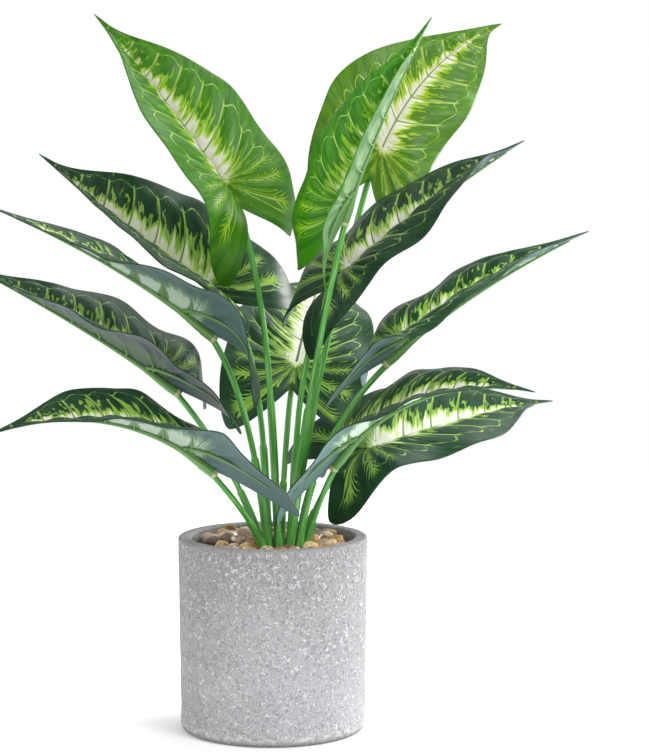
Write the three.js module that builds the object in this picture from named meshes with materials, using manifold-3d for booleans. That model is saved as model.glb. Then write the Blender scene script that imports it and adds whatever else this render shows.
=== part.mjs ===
// A potted dieffenbachia with twelve arrow-shaped variegated leaves, in a cement pot topped with pebbles.
// Millimetres, +Z up. The origin is the centre of the pot's foot; -Y is the side that shows best.
import * as THREE from "three";
import { mergeVertices } from "three/addons/utils/BufferGeometryUtils.js";
import Module from "manifold-3d";

const wasm = await Module();
wasm.setup();

// ---- Driving dimensions -------------------------------------------------------------------------

const potRadius = 57.5; // at the rim
const potFootRadius = 56;
const potHeight = 118;
const potWall = 7.8;
const potFloor = 10;
const potSides = 56;
const rimRound = 1.6;
const footRound = 3;
const roundCorner = 0.3; // where a rounded edge's one middle point sits, as a share of its radius

const gap = 0.35; // between pieces that touch
const fillerTop = 102; // the block that grips the stems
const bedTop = 109; // the shallow bed that the pebbles sit in
const boreAbove = 30; // how far above the rim the heap may reach inside the pot's bore

const pebbleCount = 72;
const pebble = {
  halfLength: [3.8, 6.2], // smallest and largest
  width: [0.7, 0.95], // as a share of the length
  height: [0.55, 0.75],
  tilt: 0.4, // radians, either way
  lift: [1.2, 3.4], // its middle above the bed
  drift: 1, // off its place on the spiral, along the radius
  turnDrift: 0.12, // and round the axis, in radians
};
const pebbleRing = { inner: 17, outer: 43.5 };
const bunchCentre = [7, -1]; // where the stems come up, a little to the right of the pot's axis
const moundRise = 2; // the pebbles heap up towards the stems
const backRise = 0.08; // and towards the back, per millimetre

const bladeThickness = 0.8;
const stem = {
  root: 33, // how low a stem reaches in the filler
  spread: 103, // the height where it starts to lean
  footRadius: 2.6,
  sleeveRadius: 2.35,
  neckRadius: 1.75,
  sleeveShare: 0.42, // share of its length that its thicker outer sleeve covers
  upright: 0.45, // how much of its first direction is straight up
  square: 0.45, // how much of its last direction is the collar's
  firstPull: 0.33, // how far the ends pull the curve, as shares of the distance between them
  lastPull: 0.3,
  steps: 9,
  sides: 8,
};
const stub = {
  foot: [4, -9.4],
  heights: [33, 103, 118, 129],
  radii: [2.4, 2.4, 2.2, 0.7],
  lean: -0.15, // millimetres along X from one point to the next
};
const collar = { radius: 2.7, neckRadius: 2.3, depth: 9 }; // the socket under each leaf that a stem pushes into
const rib = { startRadius: 1.5, endRadius: 0.5, steps: 6, sides: 6, slack: 0.15 };

// The flat leaf that every blade is bent from, as shares of the length from joint to tip.
const leafPlan = {
  sinus: 0.16, // how far the blade runs behind the joint before it splits into lobes
  lobeMiddle: 0.72, // where a lobe's end sits, as a share of the half width
  notchRound: 0.5, // how much of the notch's edge is a quarter ellipse; the rest is a straight V
  shoulder: 0.93, // where only the pointed tip is left
  point: 0.12, // how much the pointed tip adds to the half width, at the most
  collarEnd: 0.15, // how far the collar reaches behind the joint
  collarNeck: 0.02, // where it starts to narrow, behind the joint
  ribStart: 0.07, // where the raised rib on the back has its own thickness
  ribEnd: 0.78, // where it fades out
};
const bladeStations = 11;
const lobeStations = 5;
const stationsToSinus = 2;
const spansAcross = 4;
const wavesAlong = 2.4; // ripples of the edge over the blade's length
const waveFade = 0.25; // share of the length before the tip over which they die out

// Each leaf: where its blade meets the stem, where its tip is, which way its upper face looks and where its
// stem leaves the pebbles. bow lifts the middle of the blade, sway bends it sideways, and bend pushes the
// middle of the stem along X and Y. The left and right halves, seen from the joint, have a width, a taper that
// is larger where the half stays wide for longer, a lobe that reaches behind the joint as a share of the
// length, and angles in degrees: fold is the rise of the half at its lobe's end, at the joint and at the tip,
// and curl how far it rolls back over. drop lowers the lobe's end, wave is the height of the ripple along the
// edge, and phase is where the ripple starts.
const leaves = [
  {
    joint: [-30, -14, 334], tip: [-107, 20, 433], faces: [0.4, -0.85, 0.3],
    foot: [4, -2.6], bow: 3, sway: 0,
    left: {
      width: 38, taper: 1.45, lobe: 0.42, fold: [-16, 60, 44],
      curl: 44, drop: 11, wave: 2.4, phase: 0.65,
    },
    right: {
      width: 40, taper: 1.6, lobe: 0.37, fold: [-10, 36, 38],
      curl: 48, drop: 0, wave: 2, phase: 0.5,
    },
  },
  {
    joint: [68.4, 46, 353], tip: [148, 108, 432], faces: [0.38, -0.86, 0.33],
    foot: [10, 4.4], bow: 3, sway: -11,
    left: {
      width: 50, taper: 0.9, lobe: 0.4, fold: [8, 22, 30],
      curl: 44, drop: 3, wave: 2, phase: 0.45,
    },
    right: {
      width: 35, taper: 2.4, lobe: 0.3, fold: [40, 40, 24],
      curl: 46, drop: 3, wave: 2.4, phase: 0.3,
    },
  },
  {
    joint: [45.1, -60, 324], tip: [90, -80, 426], faces: [-0.52, -0.8, 0.26],
    foot: [9.8, -8.6], bow: 6, sway: 2, bend: [0, -2],
    left: {
      width: 36, taper: 1.25, lobe: 0.54, fold: [34, 60, 40],
      curl: 92, drop: 8, wave: 2, phase: 0.8,
    },
    right: {
      width: 34, taper: 1.45, lobe: 0.42, fold: [56, 84, 72],
      curl: 30, drop: 0, wave: 1.5, phase: 0.3,
    },
  },
  {
    joint: [-41.3, 24, 270], tip: [-143, 38, 349], faces: [0.33, -0.85, 0.41],
    foot: [-1.5, 5], bow: 2, sway: -3,
    left: {
      width: 37, taper: 1.3, lobe: 0.3, fold: [50, 72, 60],
      curl: 30, drop: 0, wave: 2, phase: 0.3,
    },
    right: {
      width: 42, taper: 1.6, lobe: 0.42, fold: [0, 40, 30],
      curl: 54, drop: 5, wave: 2, phase: 0.7,
    },
  },
  {
    joint: [-48.3, -30, 254], tip: [-162, -44, 318], faces: [0.45, 0.06, 0.88],
    foot: [-1.5, -6.3], bow: 4, sway: 0,
    left: {
      width: 39, taper: 1.45, lobe: 0.46, fold: [0, 48, -14],
      curl: 32, drop: 17, wave: 2, phase: 0.6,
    },
    right: {
      width: 38, taper: 1.45, lobe: 0.28, fold: [20, 31, 28],
      curl: 30, drop: 0, wave: 2, phase: 0.1,
    },
  },
  {
    joint: [-71.6, 7, 217], tip: [-184, 21, 281], faces: [0.45, -0.12, 0.88],
    foot: [-3.5, -0.6], bow: 2, sway: 0,
    left: {
      width: 39, taper: 1.45, lobe: 0.5, fold: [34, 50, 16],
      curl: 32, drop: 5, wave: 2.2, phase: 0,
    },
    right: {
      width: 38, taper: 1.35, lobe: 0.28, fold: [0, 48, 50],
      curl: 36, drop: 0, wave: 2.4, phase: 0.4,
    },
  },
  {
    joint: [-48.2, -47, 175], tip: [-161, -80, 190], faces: [0.12, -0.06, 0.98],
    foot: [-2.5, -12], bow: 14, sway: 0,
    left: {
      width: 39, taper: 1.45, lobe: 0.46, fold: [40, 46, 0],
      curl: 34, drop: 0, wave: 2, phase: 0.2,
    },
    right: {
      width: 38, taper: 1.45, lobe: 0.24, fold: [20, 43, 54],
      curl: 44, drop: 0, wave: 2, phase: 0.6,
    },
  },
  {
    joint: [15, 44, 220], tip: [34, 138, 264], faces: [0, -0.7, 0.72],
    foot: [4.6, 7.8], bow: 12, sway: 0,
    left: {
      width: 46, taper: 1.45, lobe: 0.4, fold: [4, 18, 12],
      curl: 26, drop: 3, wave: 3, phase: 0.7,
    },
    right: {
      width: 46, taper: 1.45, lobe: 0.32, fold: [4, 16, 12],
      curl: 34, drop: 0, wave: 3, phase: 0.2,
    },
  },
  {
    joint: [47, -4, 281], tip: [153, 16, 357], faces: [-0.35, -0.45, 0.82],
    foot: [10, -1.6], bow: 3, sway: 0,
    left: {
      width: 37, taper: 1.55, lobe: 0.4, fold: [4, 31, 34],
      curl: 62, drop: 9, wave: 2, phase: 0.5,
    },
    right: {
      width: 34, taper: 2.3, lobe: 0.42, fold: [0, 46, 70],
      curl: 80, drop: 5, wave: 2.4, phase: 0,
    },
  },
  {
    joint: [80.3, -22, 238], tip: [189, -12, 303], faces: [-0.45, -0.22, 0.86],
    foot: [15.8, -10.7], bow: 4, sway: 0, bend: [-9, 8],
    left: {
      width: 37, taper: 1.3, lobe: 0.3, fold: [0, 44, 34],
      curl: 60, drop: 5, wave: 2, phase: 0.15,
    },
    right: {
      width: 39, taper: 1.45, lobe: 0.48, fold: [40, 54, 40],
      curl: 70, drop: 8, wave: 2.4, phase: 0.5,
    },
  },
  {
    joint: [47, -20, 177], tip: [153, -56, 211], faces: [-0.25, -0.04, 0.96],
    foot: [18.4, -4.6], bow: 15, sway: 0,
    left: {
      width: 38, taper: 1.7, lobe: 0.28, fold: [26, 50, 36],
      curl: 56, drop: 0, wave: 2, phase: 0.4,
    },
    right: {
      width: 39, taper: 1.45, lobe: 0.41, fold: [20, 28, 8],
      curl: 30, drop: 0, wave: 2, phase: 0,
    },
  },
  {
    joint: [64, 38, 167], tip: [181, 92, 190], faces: [-0.12, -0.72, 0.68],
    foot: [15.6, 2.6], bow: 5, sway: 0,
    left: {
      width: 38, taper: 1.45, lobe: 0.4, fold: [10, 34, 20],
      curl: 50, drop: 19, wave: 2.2, phase: 0.9,
    },
    right: {
      width: 44, taper: 2.1, lobe: 0.35, fold: [-10, 56, 50],
      curl: 50, drop: 2, wave: 2.4, phase: 0.35,
    },
  },
];
const lightLeaves = 3; // the first three leaves are the young, lighter ones

// ---- Solids -------------------------------------------------------------------------------------

const toRadians = THREE.MathUtils.degToRad;
const vector = (p) => new THREE.Vector3(p[0], p[1], p[2]);

// A geometry as a manifold solid, and back.
function solidOf(geometry) {
  const bare = geometry.clone();
  bare.deleteAttribute("normal");
  bare.deleteAttribute("uv");
  const merged = mergeVertices(bare, 1e-4);
  return new wasm.Manifold(
    new wasm.Mesh({
      numProp: 3,
      vertProperties: new Float32Array(merged.attributes.position.array),
      triVerts: new Uint32Array(merged.index.array),
    }),
  );
}

function geometryOf(solid) {
  const mesh = solid.getMesh();
  return new THREE.BufferGeometry()
    .setAttribute("position", new THREE.BufferAttribute(mesh.vertProperties, 3))
    .setIndex(new THREE.BufferAttribute(mesh.triVerts, 1));
}

// The largest of the separate bodies of a solid.
const largestBody = (solid) => solid.decompose().sort((a, b) => b.volume() - a.volume())[0];

// A closed tube of polygon rings along a list of points; radii gives one radius for each point.
function tube(points, radii, sides) {
  const curve = new THREE.CatmullRomCurve3(points);
  const frames = curve.computeFrenetFrames(points.length - 1, false);
  const position = [];
  const index = [];
  points.forEach((centre, i) => {
    for (let k = 0; k < sides; k++) {
      const turn = (2 * Math.PI * k) / sides;
      const out = frames.normals[i].clone().multiplyScalar(Math.cos(turn));
      out.addScaledVector(frames.binormals[i], Math.sin(turn));
      position.push(...centre.clone().addScaledVector(out, radii[i]).toArray());
    }
  });
  for (let i = 0; i + 1 < points.length; i++) {
    for (let k = 0; k < sides; k++) {
      const a = i * sides + k;
      const b = i * sides + ((k + 1) % sides);
      index.push(a, b, b + sides, a, b + sides, a + sides);
    }
  }
  const last = (points.length - 1) * sides;
  for (let k = 1; k + 1 < sides; k++) {
    index.push(0, k + 1, k, last, last + k, last + k + 1);
  }
  const geometry = new THREE.BufferGeometry()
    .setAttribute("position", new THREE.Float32BufferAttribute(position, 3))
    .setIndex(index);
  return geometry;
}

// ---- Leaf ---------------------------------------------------------------------------------------

// The outer edge of the flat leaf at a share s of its length, as a share of the half width: ahead of the joint
// a cosine bell with a pointed tip added to it, and behind it a quarter ellipse round a lobe of that reach.
function outerEdge(s, lobe, taper) {
  const { lobeMiddle, shoulder, point } = leafPlan;
  if (s < 0) {
    return lobeMiddle + (1 - lobeMiddle) * Math.sqrt(Math.max(0, 1 - (s / lobe) ** 2));
  }
  const along = Math.min(1, s / shoulder);
  const bell = 0.5 + 0.5 * Math.cos(Math.PI * along ** taper);
  return bell + point * (27 / 4) * s ** 2 * (1 - s); // 27/4 makes the tip's own largest width 1
}

// The edge of the notch between the lobes: between a straight V and a quarter ellipse.
function innerEdge(s, lobe) {
  const { sinus, lobeMiddle, notchRound } = leafPlan;
  const back = (-s - sinus) / (lobe - sinus);
  const ellipse = 1 - Math.sqrt(Math.max(0, 1 - back ** 2));
  return back <= 0 ? 0 : lobeMiddle * THREE.MathUtils.lerp(back, ellipse, notchRound);
}

// The directions that a leaf is bent in: along its chord, out of its upper face and to its right.
function leafFrame(leaf) {
  const joint = vector(leaf.joint);
  const along = vector(leaf.tip).sub(joint);
  const length = along.length();
  along.normalize();
  const up = vector(leaf.faces);
  up.addScaledVector(along, -up.dot(along)).normalize();
  const right = along.clone().cross(up);
  return { joint, along, up, right, length };
}

// A point of the midrib, with the local direction out of the upper face. The midrib is a parabola.
function midrib(frame, leaf, s) {
  const lift = 4 * s * (1 - s);
  const slope = (4 * (1 - 2 * s) * leaf.bow) / frame.length;
  const point = frame.joint.clone()
    .addScaledVector(frame.along, frame.length * s)
    .addScaledVector(frame.up, leaf.bow * lift)
    .addScaledVector(frame.right, leaf.sway * lift);
  const up = frame.up.clone().addScaledVector(frame.along, -slope).normalize();
  return { point, up };
}

// A point of the bent blade: share s along it and distance out from the midrib as a share of the half width.
// Each half rises from the midrib at its fold angle and rolls back by its curl; its edge is waved, and the
// lobe's end is lowered.
function bladePoint(frame, leaf, half, s, out) {
  const { point, up } = midrib(frame, leaf, s);
  const back = Math.min(1, Math.max(0, -s / half.lobe));
  const ahead = Math.max(0, s);
  const [lobeFold, jointFold, tipFold] = half.fold;
  const fold = toRadians(jointFold + (lobeFold - jointFold) * back ** 2 + (tipFold - jointFold) * ahead);
  const roll = toRadians(half.curl) * out;
  const angle = fold - roll / 2;
  const reach = half.width * out * (1 - roll ** 2 / 24);
  const wave = half.wave * Math.sin(2 * Math.PI * (wavesAlong * s + half.phase)) * out ** 2;
  const waved = wave * Math.min(1, (1 - s) / waveFade);
  const rise = reach * Math.sin(angle) + waved - half.drop * out * back ** 2;
  return point
    .addScaledVector(frame.right, half.side * reach * Math.cos(angle))
    .addScaledVector(up, rise);
}

// Stations from a lobe's end to the tip, closer together where the outline is round.
function stations(lobe) {
  const { sinus } = leafPlan;
  const list = [];
  for (let i = 0; i < lobeStations; i++) {
    list.push(-sinus - (lobe - sinus) * Math.cos((Math.PI / 2) * (i / lobeStations)));
  }
  for (let i = 0; i < stationsToSinus; i++) list.push(-sinus * (1 - i / stationsToSinus));
  for (let i = 0; i <= bladeStations; i++) list.push(i / bladeStations);
  return list;
}

// The blade as one thin sheet of points and triangles, with the two halves sharing the midrib.
function bladeSheet(frame, leaf) {
  const points = [];
  const triangles = [];
  const onMidrib = new Map();
  const add = (half, s, out) => {
    if (out === 0 && onMidrib.has(s)) return onMidrib.get(s);
    points.push(bladePoint(frame, leaf, half, s, out));
    if (out === 0) onMidrib.set(s, points.length - 1);
    return points.length - 1;
  };
  for (const half of [{ side: -1, ...leaf.left }, { side: 1, ...leaf.right }]) {
    const rows = stations(half.lobe).map((s) => {
      const inner = innerEdge(s, half.lobe);
      const outer = outerEdge(s, half.lobe, half.taper);
      if (outer - inner < 1e-6) return [add(half, s, outer)];
      const row = [];
      for (let j = 0; j <= spansAcross; j++) {
        row.push(add(half, s, inner + ((outer - inner) * j) / spansAcross));
      }
      return row;
    });
    const corner = (row, j) => rows[row][Math.min(j, rows[row].length - 1)];
    for (let i = 0; i + 1 < rows.length; i++) {
      for (let j = 0; j < spansAcross; j++) {
        const [a, b, c, d] = [corner(i, j), corner(i, j + 1), corner(i + 1, j + 1), corner(i + 1, j)];
        for (const face of [[a, b, c], [a, c, d]]) {
          if (new Set(face).size < 3) continue;
          triangles.push(half.side > 0 ? face : face.reverse());
        }
      }
    }
  }
  return { points, triangles };
}

// A closed solid from a sheet: the same triangles on both faces, joined round the open edge.
function thicken(sheet, thickness) {
  const { points, triangles } = sheet;
  const normals = points.map(() => new THREE.Vector3());
  const edges = new Map();
  for (const [a, b, c] of triangles) {
    const normal = points[b].clone().sub(points[a]).cross(points[c].clone().sub(points[a]));
    [a, b, c].forEach((k) => normals[k].add(normal));
    [[a, b], [b, c], [c, a]].forEach(([p, q]) => edges.set(`${p},${q}`, [p, q]));
  }
  const n = points.length;
  const position = [];
  for (const sign of [0.5, -0.5]) {
    points.forEach((p, k) => {
      const out = normals[k].clone().normalize();
      position.push(...p.clone().addScaledVector(out, sign * thickness).toArray());
    });
  }
  const index = [];
  for (const [a, b, c] of triangles) index.push(a, b, c, a + n, c + n, b + n);
  for (const [p, q] of edges.values()) {
    if (!edges.has(`${q},${p}`)) index.push(q, p, p + n, q, p + n, q + n);
  }
  return new THREE.BufferGeometry()
    .setAttribute("position", new THREE.Float32BufferAttribute(position, 3))
    .setIndex(index);
}

// The midrib's back, at a distance under the blade.
function underMidrib(frame, leaf, s, depth) {
  const { point, up } = midrib(frame, leaf, s);
  return point.addScaledVector(up, -depth);
}

// How far the rib's centre hangs under the blade so that it clears it.
const ribDepth = (radius) => radius + bladeThickness / 2 + gap + rib.slack;

// The raised rib along the back of the blade, and the collar behind it that the stem pushes into.
function ribGeometry(frame, leaf) {
  const { collarEnd, collarNeck, ribStart, ribEnd } = leafPlan;
  const points = [];
  const radii = [];
  const put = (s, radius) => {
    points.push(underMidrib(frame, leaf, s, ribDepth(radius)));
    radii.push(radius);
  };
  put(-collarEnd, collar.radius);
  put(-collarEnd / 2, collar.radius);
  put(-collarNeck, collar.neckRadius);
  for (let i = 0; i <= rib.steps; i++) {
    const along = i / rib.steps;
    const radius = THREE.MathUtils.lerp(rib.startRadius, rib.endRadius, along);
    put(THREE.MathUtils.lerp(ribStart, ribEnd, along), radius);
  }
  return tube(points, radii, rib.sides);
}

// The stem's centre line: up out of the pot from its foot, then into the leaf's collar.
function stemCurve(frame, leaf) {
  const { collarEnd } = leafPlan;
  const depth = ribDepth(collar.radius);
  const mouth = underMidrib(frame, leaf, -collarEnd, depth);
  const inside = underMidrib(frame, leaf, -collarEnd + collar.depth / frame.length, depth);
  const foot = new THREE.Vector3(leaf.foot[0], leaf.foot[1], stem.spread);
  const distance = mouth.distanceTo(foot);
  const lean = mouth.clone().sub(foot).normalize();
  const leave = lean.clone().lerp(new THREE.Vector3(0, 0, 1), stem.upright).normalize();
  const arrive = lean.clone().negate();
  arrive.lerp(mouth.clone().sub(inside).normalize(), stem.square).normalize();
  const push = new THREE.Vector3(...(leaf.bend ?? [0, 0]), 0);
  const body = new THREE.CubicBezierCurve3(
    foot,
    foot.clone().addScaledVector(leave, distance * stem.firstPull).add(push),
    mouth.clone().addScaledVector(arrive, distance * stem.lastPull).add(push),
    mouth,
  );
  return { body, foot, inside };
}

// The points and radii of a stem, or with room > 0 of the hole that it stands in.
function stemPath(frame, leaf, room = 0) {
  const { footRadius, sleeveRadius, neckRadius, sleeveShare, steps } = stem;
  const { body, foot, inside } = stemCurve(frame, leaf);
  const points = [foot.clone().setZ(stem.root - room)];
  const radii = [footRadius];
  for (let i = 0; i <= steps; i++) {
    const share = i / steps;
    points.push(body.getPointAt(share));
    const sleeve = THREE.MathUtils.lerp(footRadius, sleeveRadius, share / sleeveShare);
    radii.push(share <= sleeveShare ? sleeve : neckRadius);
  }
  const direction = inside.clone().sub(points[points.length - 1]).normalize();
  points.push(inside.clone().addScaledVector(direction, room));
  radii.push(neckRadius);
  return { points, radii: radii.map((r) => r + room) };
}

// ---- Pot and what fills it ----------------------------------------------------------------------

function potGeometry() {
  const inner = potRadius - potWall;
  const profile = [
    [0, 0],
    [potFootRadius - footRound, 0],
    [potFootRadius - footRound * roundCorner, footRound * roundCorner],
    [potFootRadius, footRound],
    [potRadius, potHeight - rimRound],
    [potRadius - rimRound * roundCorner, potHeight - rimRound * roundCorner],
    [potRadius - rimRound, potHeight],
    [inner + rimRound, potHeight],
    [inner + rimRound * roundCorner, potHeight - rimRound * roundCorner],
    [inner, potHeight - rimRound],
    [inner, potFloor],
    [0, potFloor],
  ].map(([r, z]) => new THREE.Vector2(r, z));
  return new THREE.LatheGeometry(profile, potSides).rotateX(Math.PI / 2);
}

// A disc of the pot's bore, between two heights.
function plug(low, high) {
  const radius = potRadius - potWall - gap;
  const disc = new THREE.CylinderGeometry(radius, radius, high - low, potSides);
  return disc.rotateX(Math.PI / 2).translate(0, 0, (low + high) / 2);
}

// A seeded sequence of numbers from 0 to 1.
function seeded(seed) {
  let state = seed;
  return () => {
    state = (state * 1664525 + 1013904223) % 4294967296;
    return state / 4294967296;
  };
}

// The pebbles: squashed, turned spheres on a sunflower spiral round the stems, heaped towards the stems and
// the back.
function pebbleGeometries() {
  const random = seeded(7);
  const between = (low, high) => low + (high - low) * random();
  const either = (most) => between(-most, most);
  const { inner, outer } = pebbleRing;
  const goldenAngle = Math.PI * (3 - Math.sqrt(5));
  const list = [];
  for (let i = 0; i < pebbleCount; i++) {
    const share = (i + 0.5) / pebbleCount;
    const radius = Math.sqrt(THREE.MathUtils.lerp(inner ** 2, outer ** 2, share)) + either(pebble.drift);
    const turn = i * goldenAngle + either(pebble.turnDrift);
    const towards = 1 - (radius - inner) / (outer - inner);
    const x = radius * Math.cos(turn) + bunchCentre[0] * towards;
    const y = radius * Math.sin(turn) + bunchCentre[1] * towards;
    const size = between(...pebble.halfLength);
    const stone = new THREE.IcosahedronGeometry(1, 0)
      .scale(size, size * between(...pebble.width), size * between(...pebble.height))
      .rotateX(either(pebble.tilt))
      .rotateZ(between(0, Math.PI))
      .translate(x, y, bedTop + moundRise * towards + backRise * y + between(...pebble.lift));
    list.push(stone);
  }
  return list;
}

// ---- Materials ----------------------------------------------------------------------------------

const paint = (color, roughness, more = {}) =>
  new THREE.MeshStandardMaterial({ color, roughness, metalness: 0, ...more });
const cement = paint(0xb4b2b2, 0.95);
const foam = paint(0x4a3a2c, 0.95);
const stone = paint(0xb89a72, 0.6);
const darkBlade = paint(0x2f5a34, 0.5, { side: THREE.DoubleSide });
const lightBlade = paint(0x5fa03a, 0.5, { side: THREE.DoubleSide });
const plastic = paint(0x4f9a3c, 0.42);

// ---- Assembly -----------------------------------------------------------------------------------

const plant = new THREE.Group();
const add = (name, geometry, material) => {
  const mesh = new THREE.Mesh(geometry, material);
  mesh.name = name;
  plant.add(mesh);
};
const number = (i) => String(i + 1).padStart(2, "0");

const holes = [];
leaves.forEach((leaf, i) => {
  const frame = leafFrame(leaf);
  const blade = thicken(bladeSheet(frame, leaf), bladeThickness);
  const rod = stemPath(frame, leaf);
  const hole = stemPath(frame, leaf, gap);
  const holeSolid = solidOf(tube(hole.points, hole.radii, stem.sides));
  holes.push(holeSolid);
  add(`leaf_${number(i)}_blade`, blade, i < lightLeaves ? lightBlade : darkBlade);
  const backRib = solidOf(ribGeometry(frame, leaf)).subtract(holeSolid);
  add(`leaf_${number(i)}_rib`, geometryOf(backRib), plastic);
  add(`stem_${number(i)}`, tube(rod.points, rod.radii, stem.sides), plastic);
});

// A short bare sleeve with a pointed end stands among the stems.
const stubPoints = stub.heights.map(
  (z, i) => new THREE.Vector3(stub.foot[0] + i * stub.lean, stub.foot[1], z),
);
add("stem_sleeve_stub", tube(stubPoints, stub.radii, stem.sides), plastic);
holes.push(solidOf(tube(stubPoints, stub.radii.map((r) => r + gap), stem.sides)));

const stemHoles = wasm.Manifold.union(holes);
const filler = solidOf(plug(potFloor + gap, fillerTop)).subtract(stemHoles);
const bed = solidOf(plug(fillerTop + gap, bedTop));
const bore = solidOf(plug(fillerTop + gap, potHeight + boreAbove));
const heap = wasm.Manifold.union([bed, ...pebbleGeometries().map(solidOf)])
  .intersect(bore)
  .subtract(stemHoles);
const pebbles = largestBody(heap); // without the scraps that the stems cut off

add("pot", potGeometry(), cement);
add("filler_block", geometryOf(largestBody(filler)), foam);
add("pebbles", geometryOf(pebbles), stone);

export default plant;
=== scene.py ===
import math
import bpy
import numpy as np
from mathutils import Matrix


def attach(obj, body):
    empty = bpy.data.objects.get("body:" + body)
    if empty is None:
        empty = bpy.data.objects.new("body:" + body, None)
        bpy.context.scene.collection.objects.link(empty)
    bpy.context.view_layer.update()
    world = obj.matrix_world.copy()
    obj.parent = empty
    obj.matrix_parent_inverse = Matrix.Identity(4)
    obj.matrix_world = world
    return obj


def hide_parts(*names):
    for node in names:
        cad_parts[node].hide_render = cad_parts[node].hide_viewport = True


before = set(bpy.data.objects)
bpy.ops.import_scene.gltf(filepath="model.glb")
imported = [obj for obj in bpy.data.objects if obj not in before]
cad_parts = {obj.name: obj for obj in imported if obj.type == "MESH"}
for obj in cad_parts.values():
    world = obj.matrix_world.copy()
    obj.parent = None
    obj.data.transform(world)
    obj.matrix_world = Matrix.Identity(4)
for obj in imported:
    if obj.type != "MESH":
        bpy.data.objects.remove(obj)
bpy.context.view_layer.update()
print("frame loaded:", len(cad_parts), "nodes")


# Small tools that every piece uses.

def linear(hexColour):  # an sRGB hex colour as linear red, green, blue, alpha
    channels = [int(hexColour[i:i + 2], 16) / 255 for i in (1, 3, 5)]
    return tuple(c / 12.92 if c <= 0.04045 else ((c + 0.055) / 1.055) ** 2.4 for c in channels) + (1.0,)


# Adds a node with its settings, links or sets its sockets, fills a colour ramp from stops, and returns
# one output. Sockets of Map Range are 0 the value, 1 and 2 the range it comes from, 3 and 4 the range it
# goes to. Sockets of Mix between colours are 0 the share, 6 and 7 the colours.
def addNode(tree, kind, sockets=None, out=0, stops=None, **settings):
    made = tree.nodes.new("ShaderNode" + kind)
    for name, value in settings.items():
        setattr(made, name, value)
    for key, value in (sockets or {}).items():
        if isinstance(value, bpy.types.NodeSocket):
            tree.links.new(value, made.inputs[key])
        else:
            made.inputs[key].default_value = linear(value) if isinstance(value, str) else value
    if stops:
        ramp = made.color_ramp.elements
        while len(ramp) < len(stops):
            ramp.new(0.5)
        for element, (place, colour) in zip(ramp, stops):
            element.position = place
            element.color = linear(colour)
    return made.outputs[out] if made.outputs else made


eased = {"interpolation_type": "SMOOTHSTEP"}  # Map Range with an S curve
asColour = {"out": 2, "data_type": "RGBA"}  # Mix between colours


def newMaterial(name):  # an empty material and its node tree
    material = bpy.data.materials.new(name)
    material.use_nodes = True
    material.node_tree.nodes.clear()
    return material, material.node_tree


# Makes a mesh from points in millimetres and triangles. Points that coincide are merged, which closes seams
# and poles, and triangles that lose a corner with them are dropped.
def makePiece(name, points, triangles, materials, body="root", sharp=50, fields=None, slots=None):
    _, first, where = np.unique(np.round(points, 4), axis=0, return_index=True, return_inverse=True)
    corners = where.reshape(-1)[triangles]
    a, b, c = corners.T
    whole = (a != b) & (b != c) & (c != a)
    corners = corners[whole]
    mesh = bpy.data.meshes.new(name)
    mesh.vertices.add(len(first))
    mesh.vertices.foreach_set("co", (points[first] * 0.001).astype(np.float32).ravel())
    mesh.loops.add(corners.size)
    mesh.loops.foreach_set("vertex_index", corners.astype(np.int32).ravel())
    mesh.polygons.add(len(corners))
    mesh.polygons.foreach_set("loop_start", np.arange(0, corners.size, 3, dtype=np.int32))
    mesh.polygons.foreach_set("use_smooth", np.ones(len(corners), dtype=bool))
    if slots is not None:
        mesh.polygons.foreach_set("material_index", slots[whole].astype(np.int32))
    for label, values in (fields or {}).items():
        layer = mesh.attributes.new(label, "FLOAT_VECTOR", "POINT")
        layer.data.foreach_set("vector", values[first].astype(np.float32).ravel())
    for material in materials:
        mesh.materials.append(material)
    mesh.update(calc_edges=True)
    mesh.validate()
    if sharp:
        mesh.set_sharp_from_angle(angle=math.radians(sharp))
    piece = bpy.data.objects.new(name, mesh)
    bpy.context.scene.collection.objects.link(piece)
    if body:
        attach(piece, body)
    return piece


# The triangles of a grid of rows by columns; closed joins the last column to the first.
def gridTriangles(rows, columns, closed=False, flip=False):
    spans = columns if closed else columns - 1
    i, j = np.meshgrid(np.arange(rows - 1), np.arange(spans), indexing="ij")
    a = (i * columns + j).ravel()
    b = (i * columns + (j + 1) % columns).ravel()
    c, d = b + columns, a + columns
    faces = np.concatenate([np.stack([a, b, c], 1), np.stack([a, c, d], 1)])
    return faces[:, ::-1] if flip else faces


def unit(v):  # vectors along the last axis, at length 1
    return v / np.maximum(np.linalg.norm(v, axis=-1, keepdims=True), 1e-12)


def smooth(low, high, x):  # 0 below low, 1 above high, an S curve between
    t = np.clip((x - low) / (high - low), 0, 1)
    return t * t * (3 - 2 * t)


# Value noise from -1 to 1: random numbers on a unit lattice, blended between its corners by an S curve.
def noise(x, y, z, seed=0):
    cell = [np.floor(v).astype(np.int64) for v in (x, y, z)]
    part = [smooth(0, 1, v - c) for v, c in zip((x, y, z), cell)]
    total, primes = 0, (374761393, 668265263, 2147483647)
    for corner in range(8):
        step = [(corner >> k) & 1 for k in range(3)]
        key = sum((c + s) * m for c, s, m in zip(cell, step, primes)) + seed * 1274126177
        key = (key ^ (key >> 13)) * 1103515245 & 0x7FFFFFFF
        value = ((key ^ (key >> 16)) & 0xFFFF) / 32767.5 - 1
        weight = np.prod([p if s else 1 - p for p, s in zip(part, step)], axis=0)
        total = total + value * weight
    return total


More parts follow.
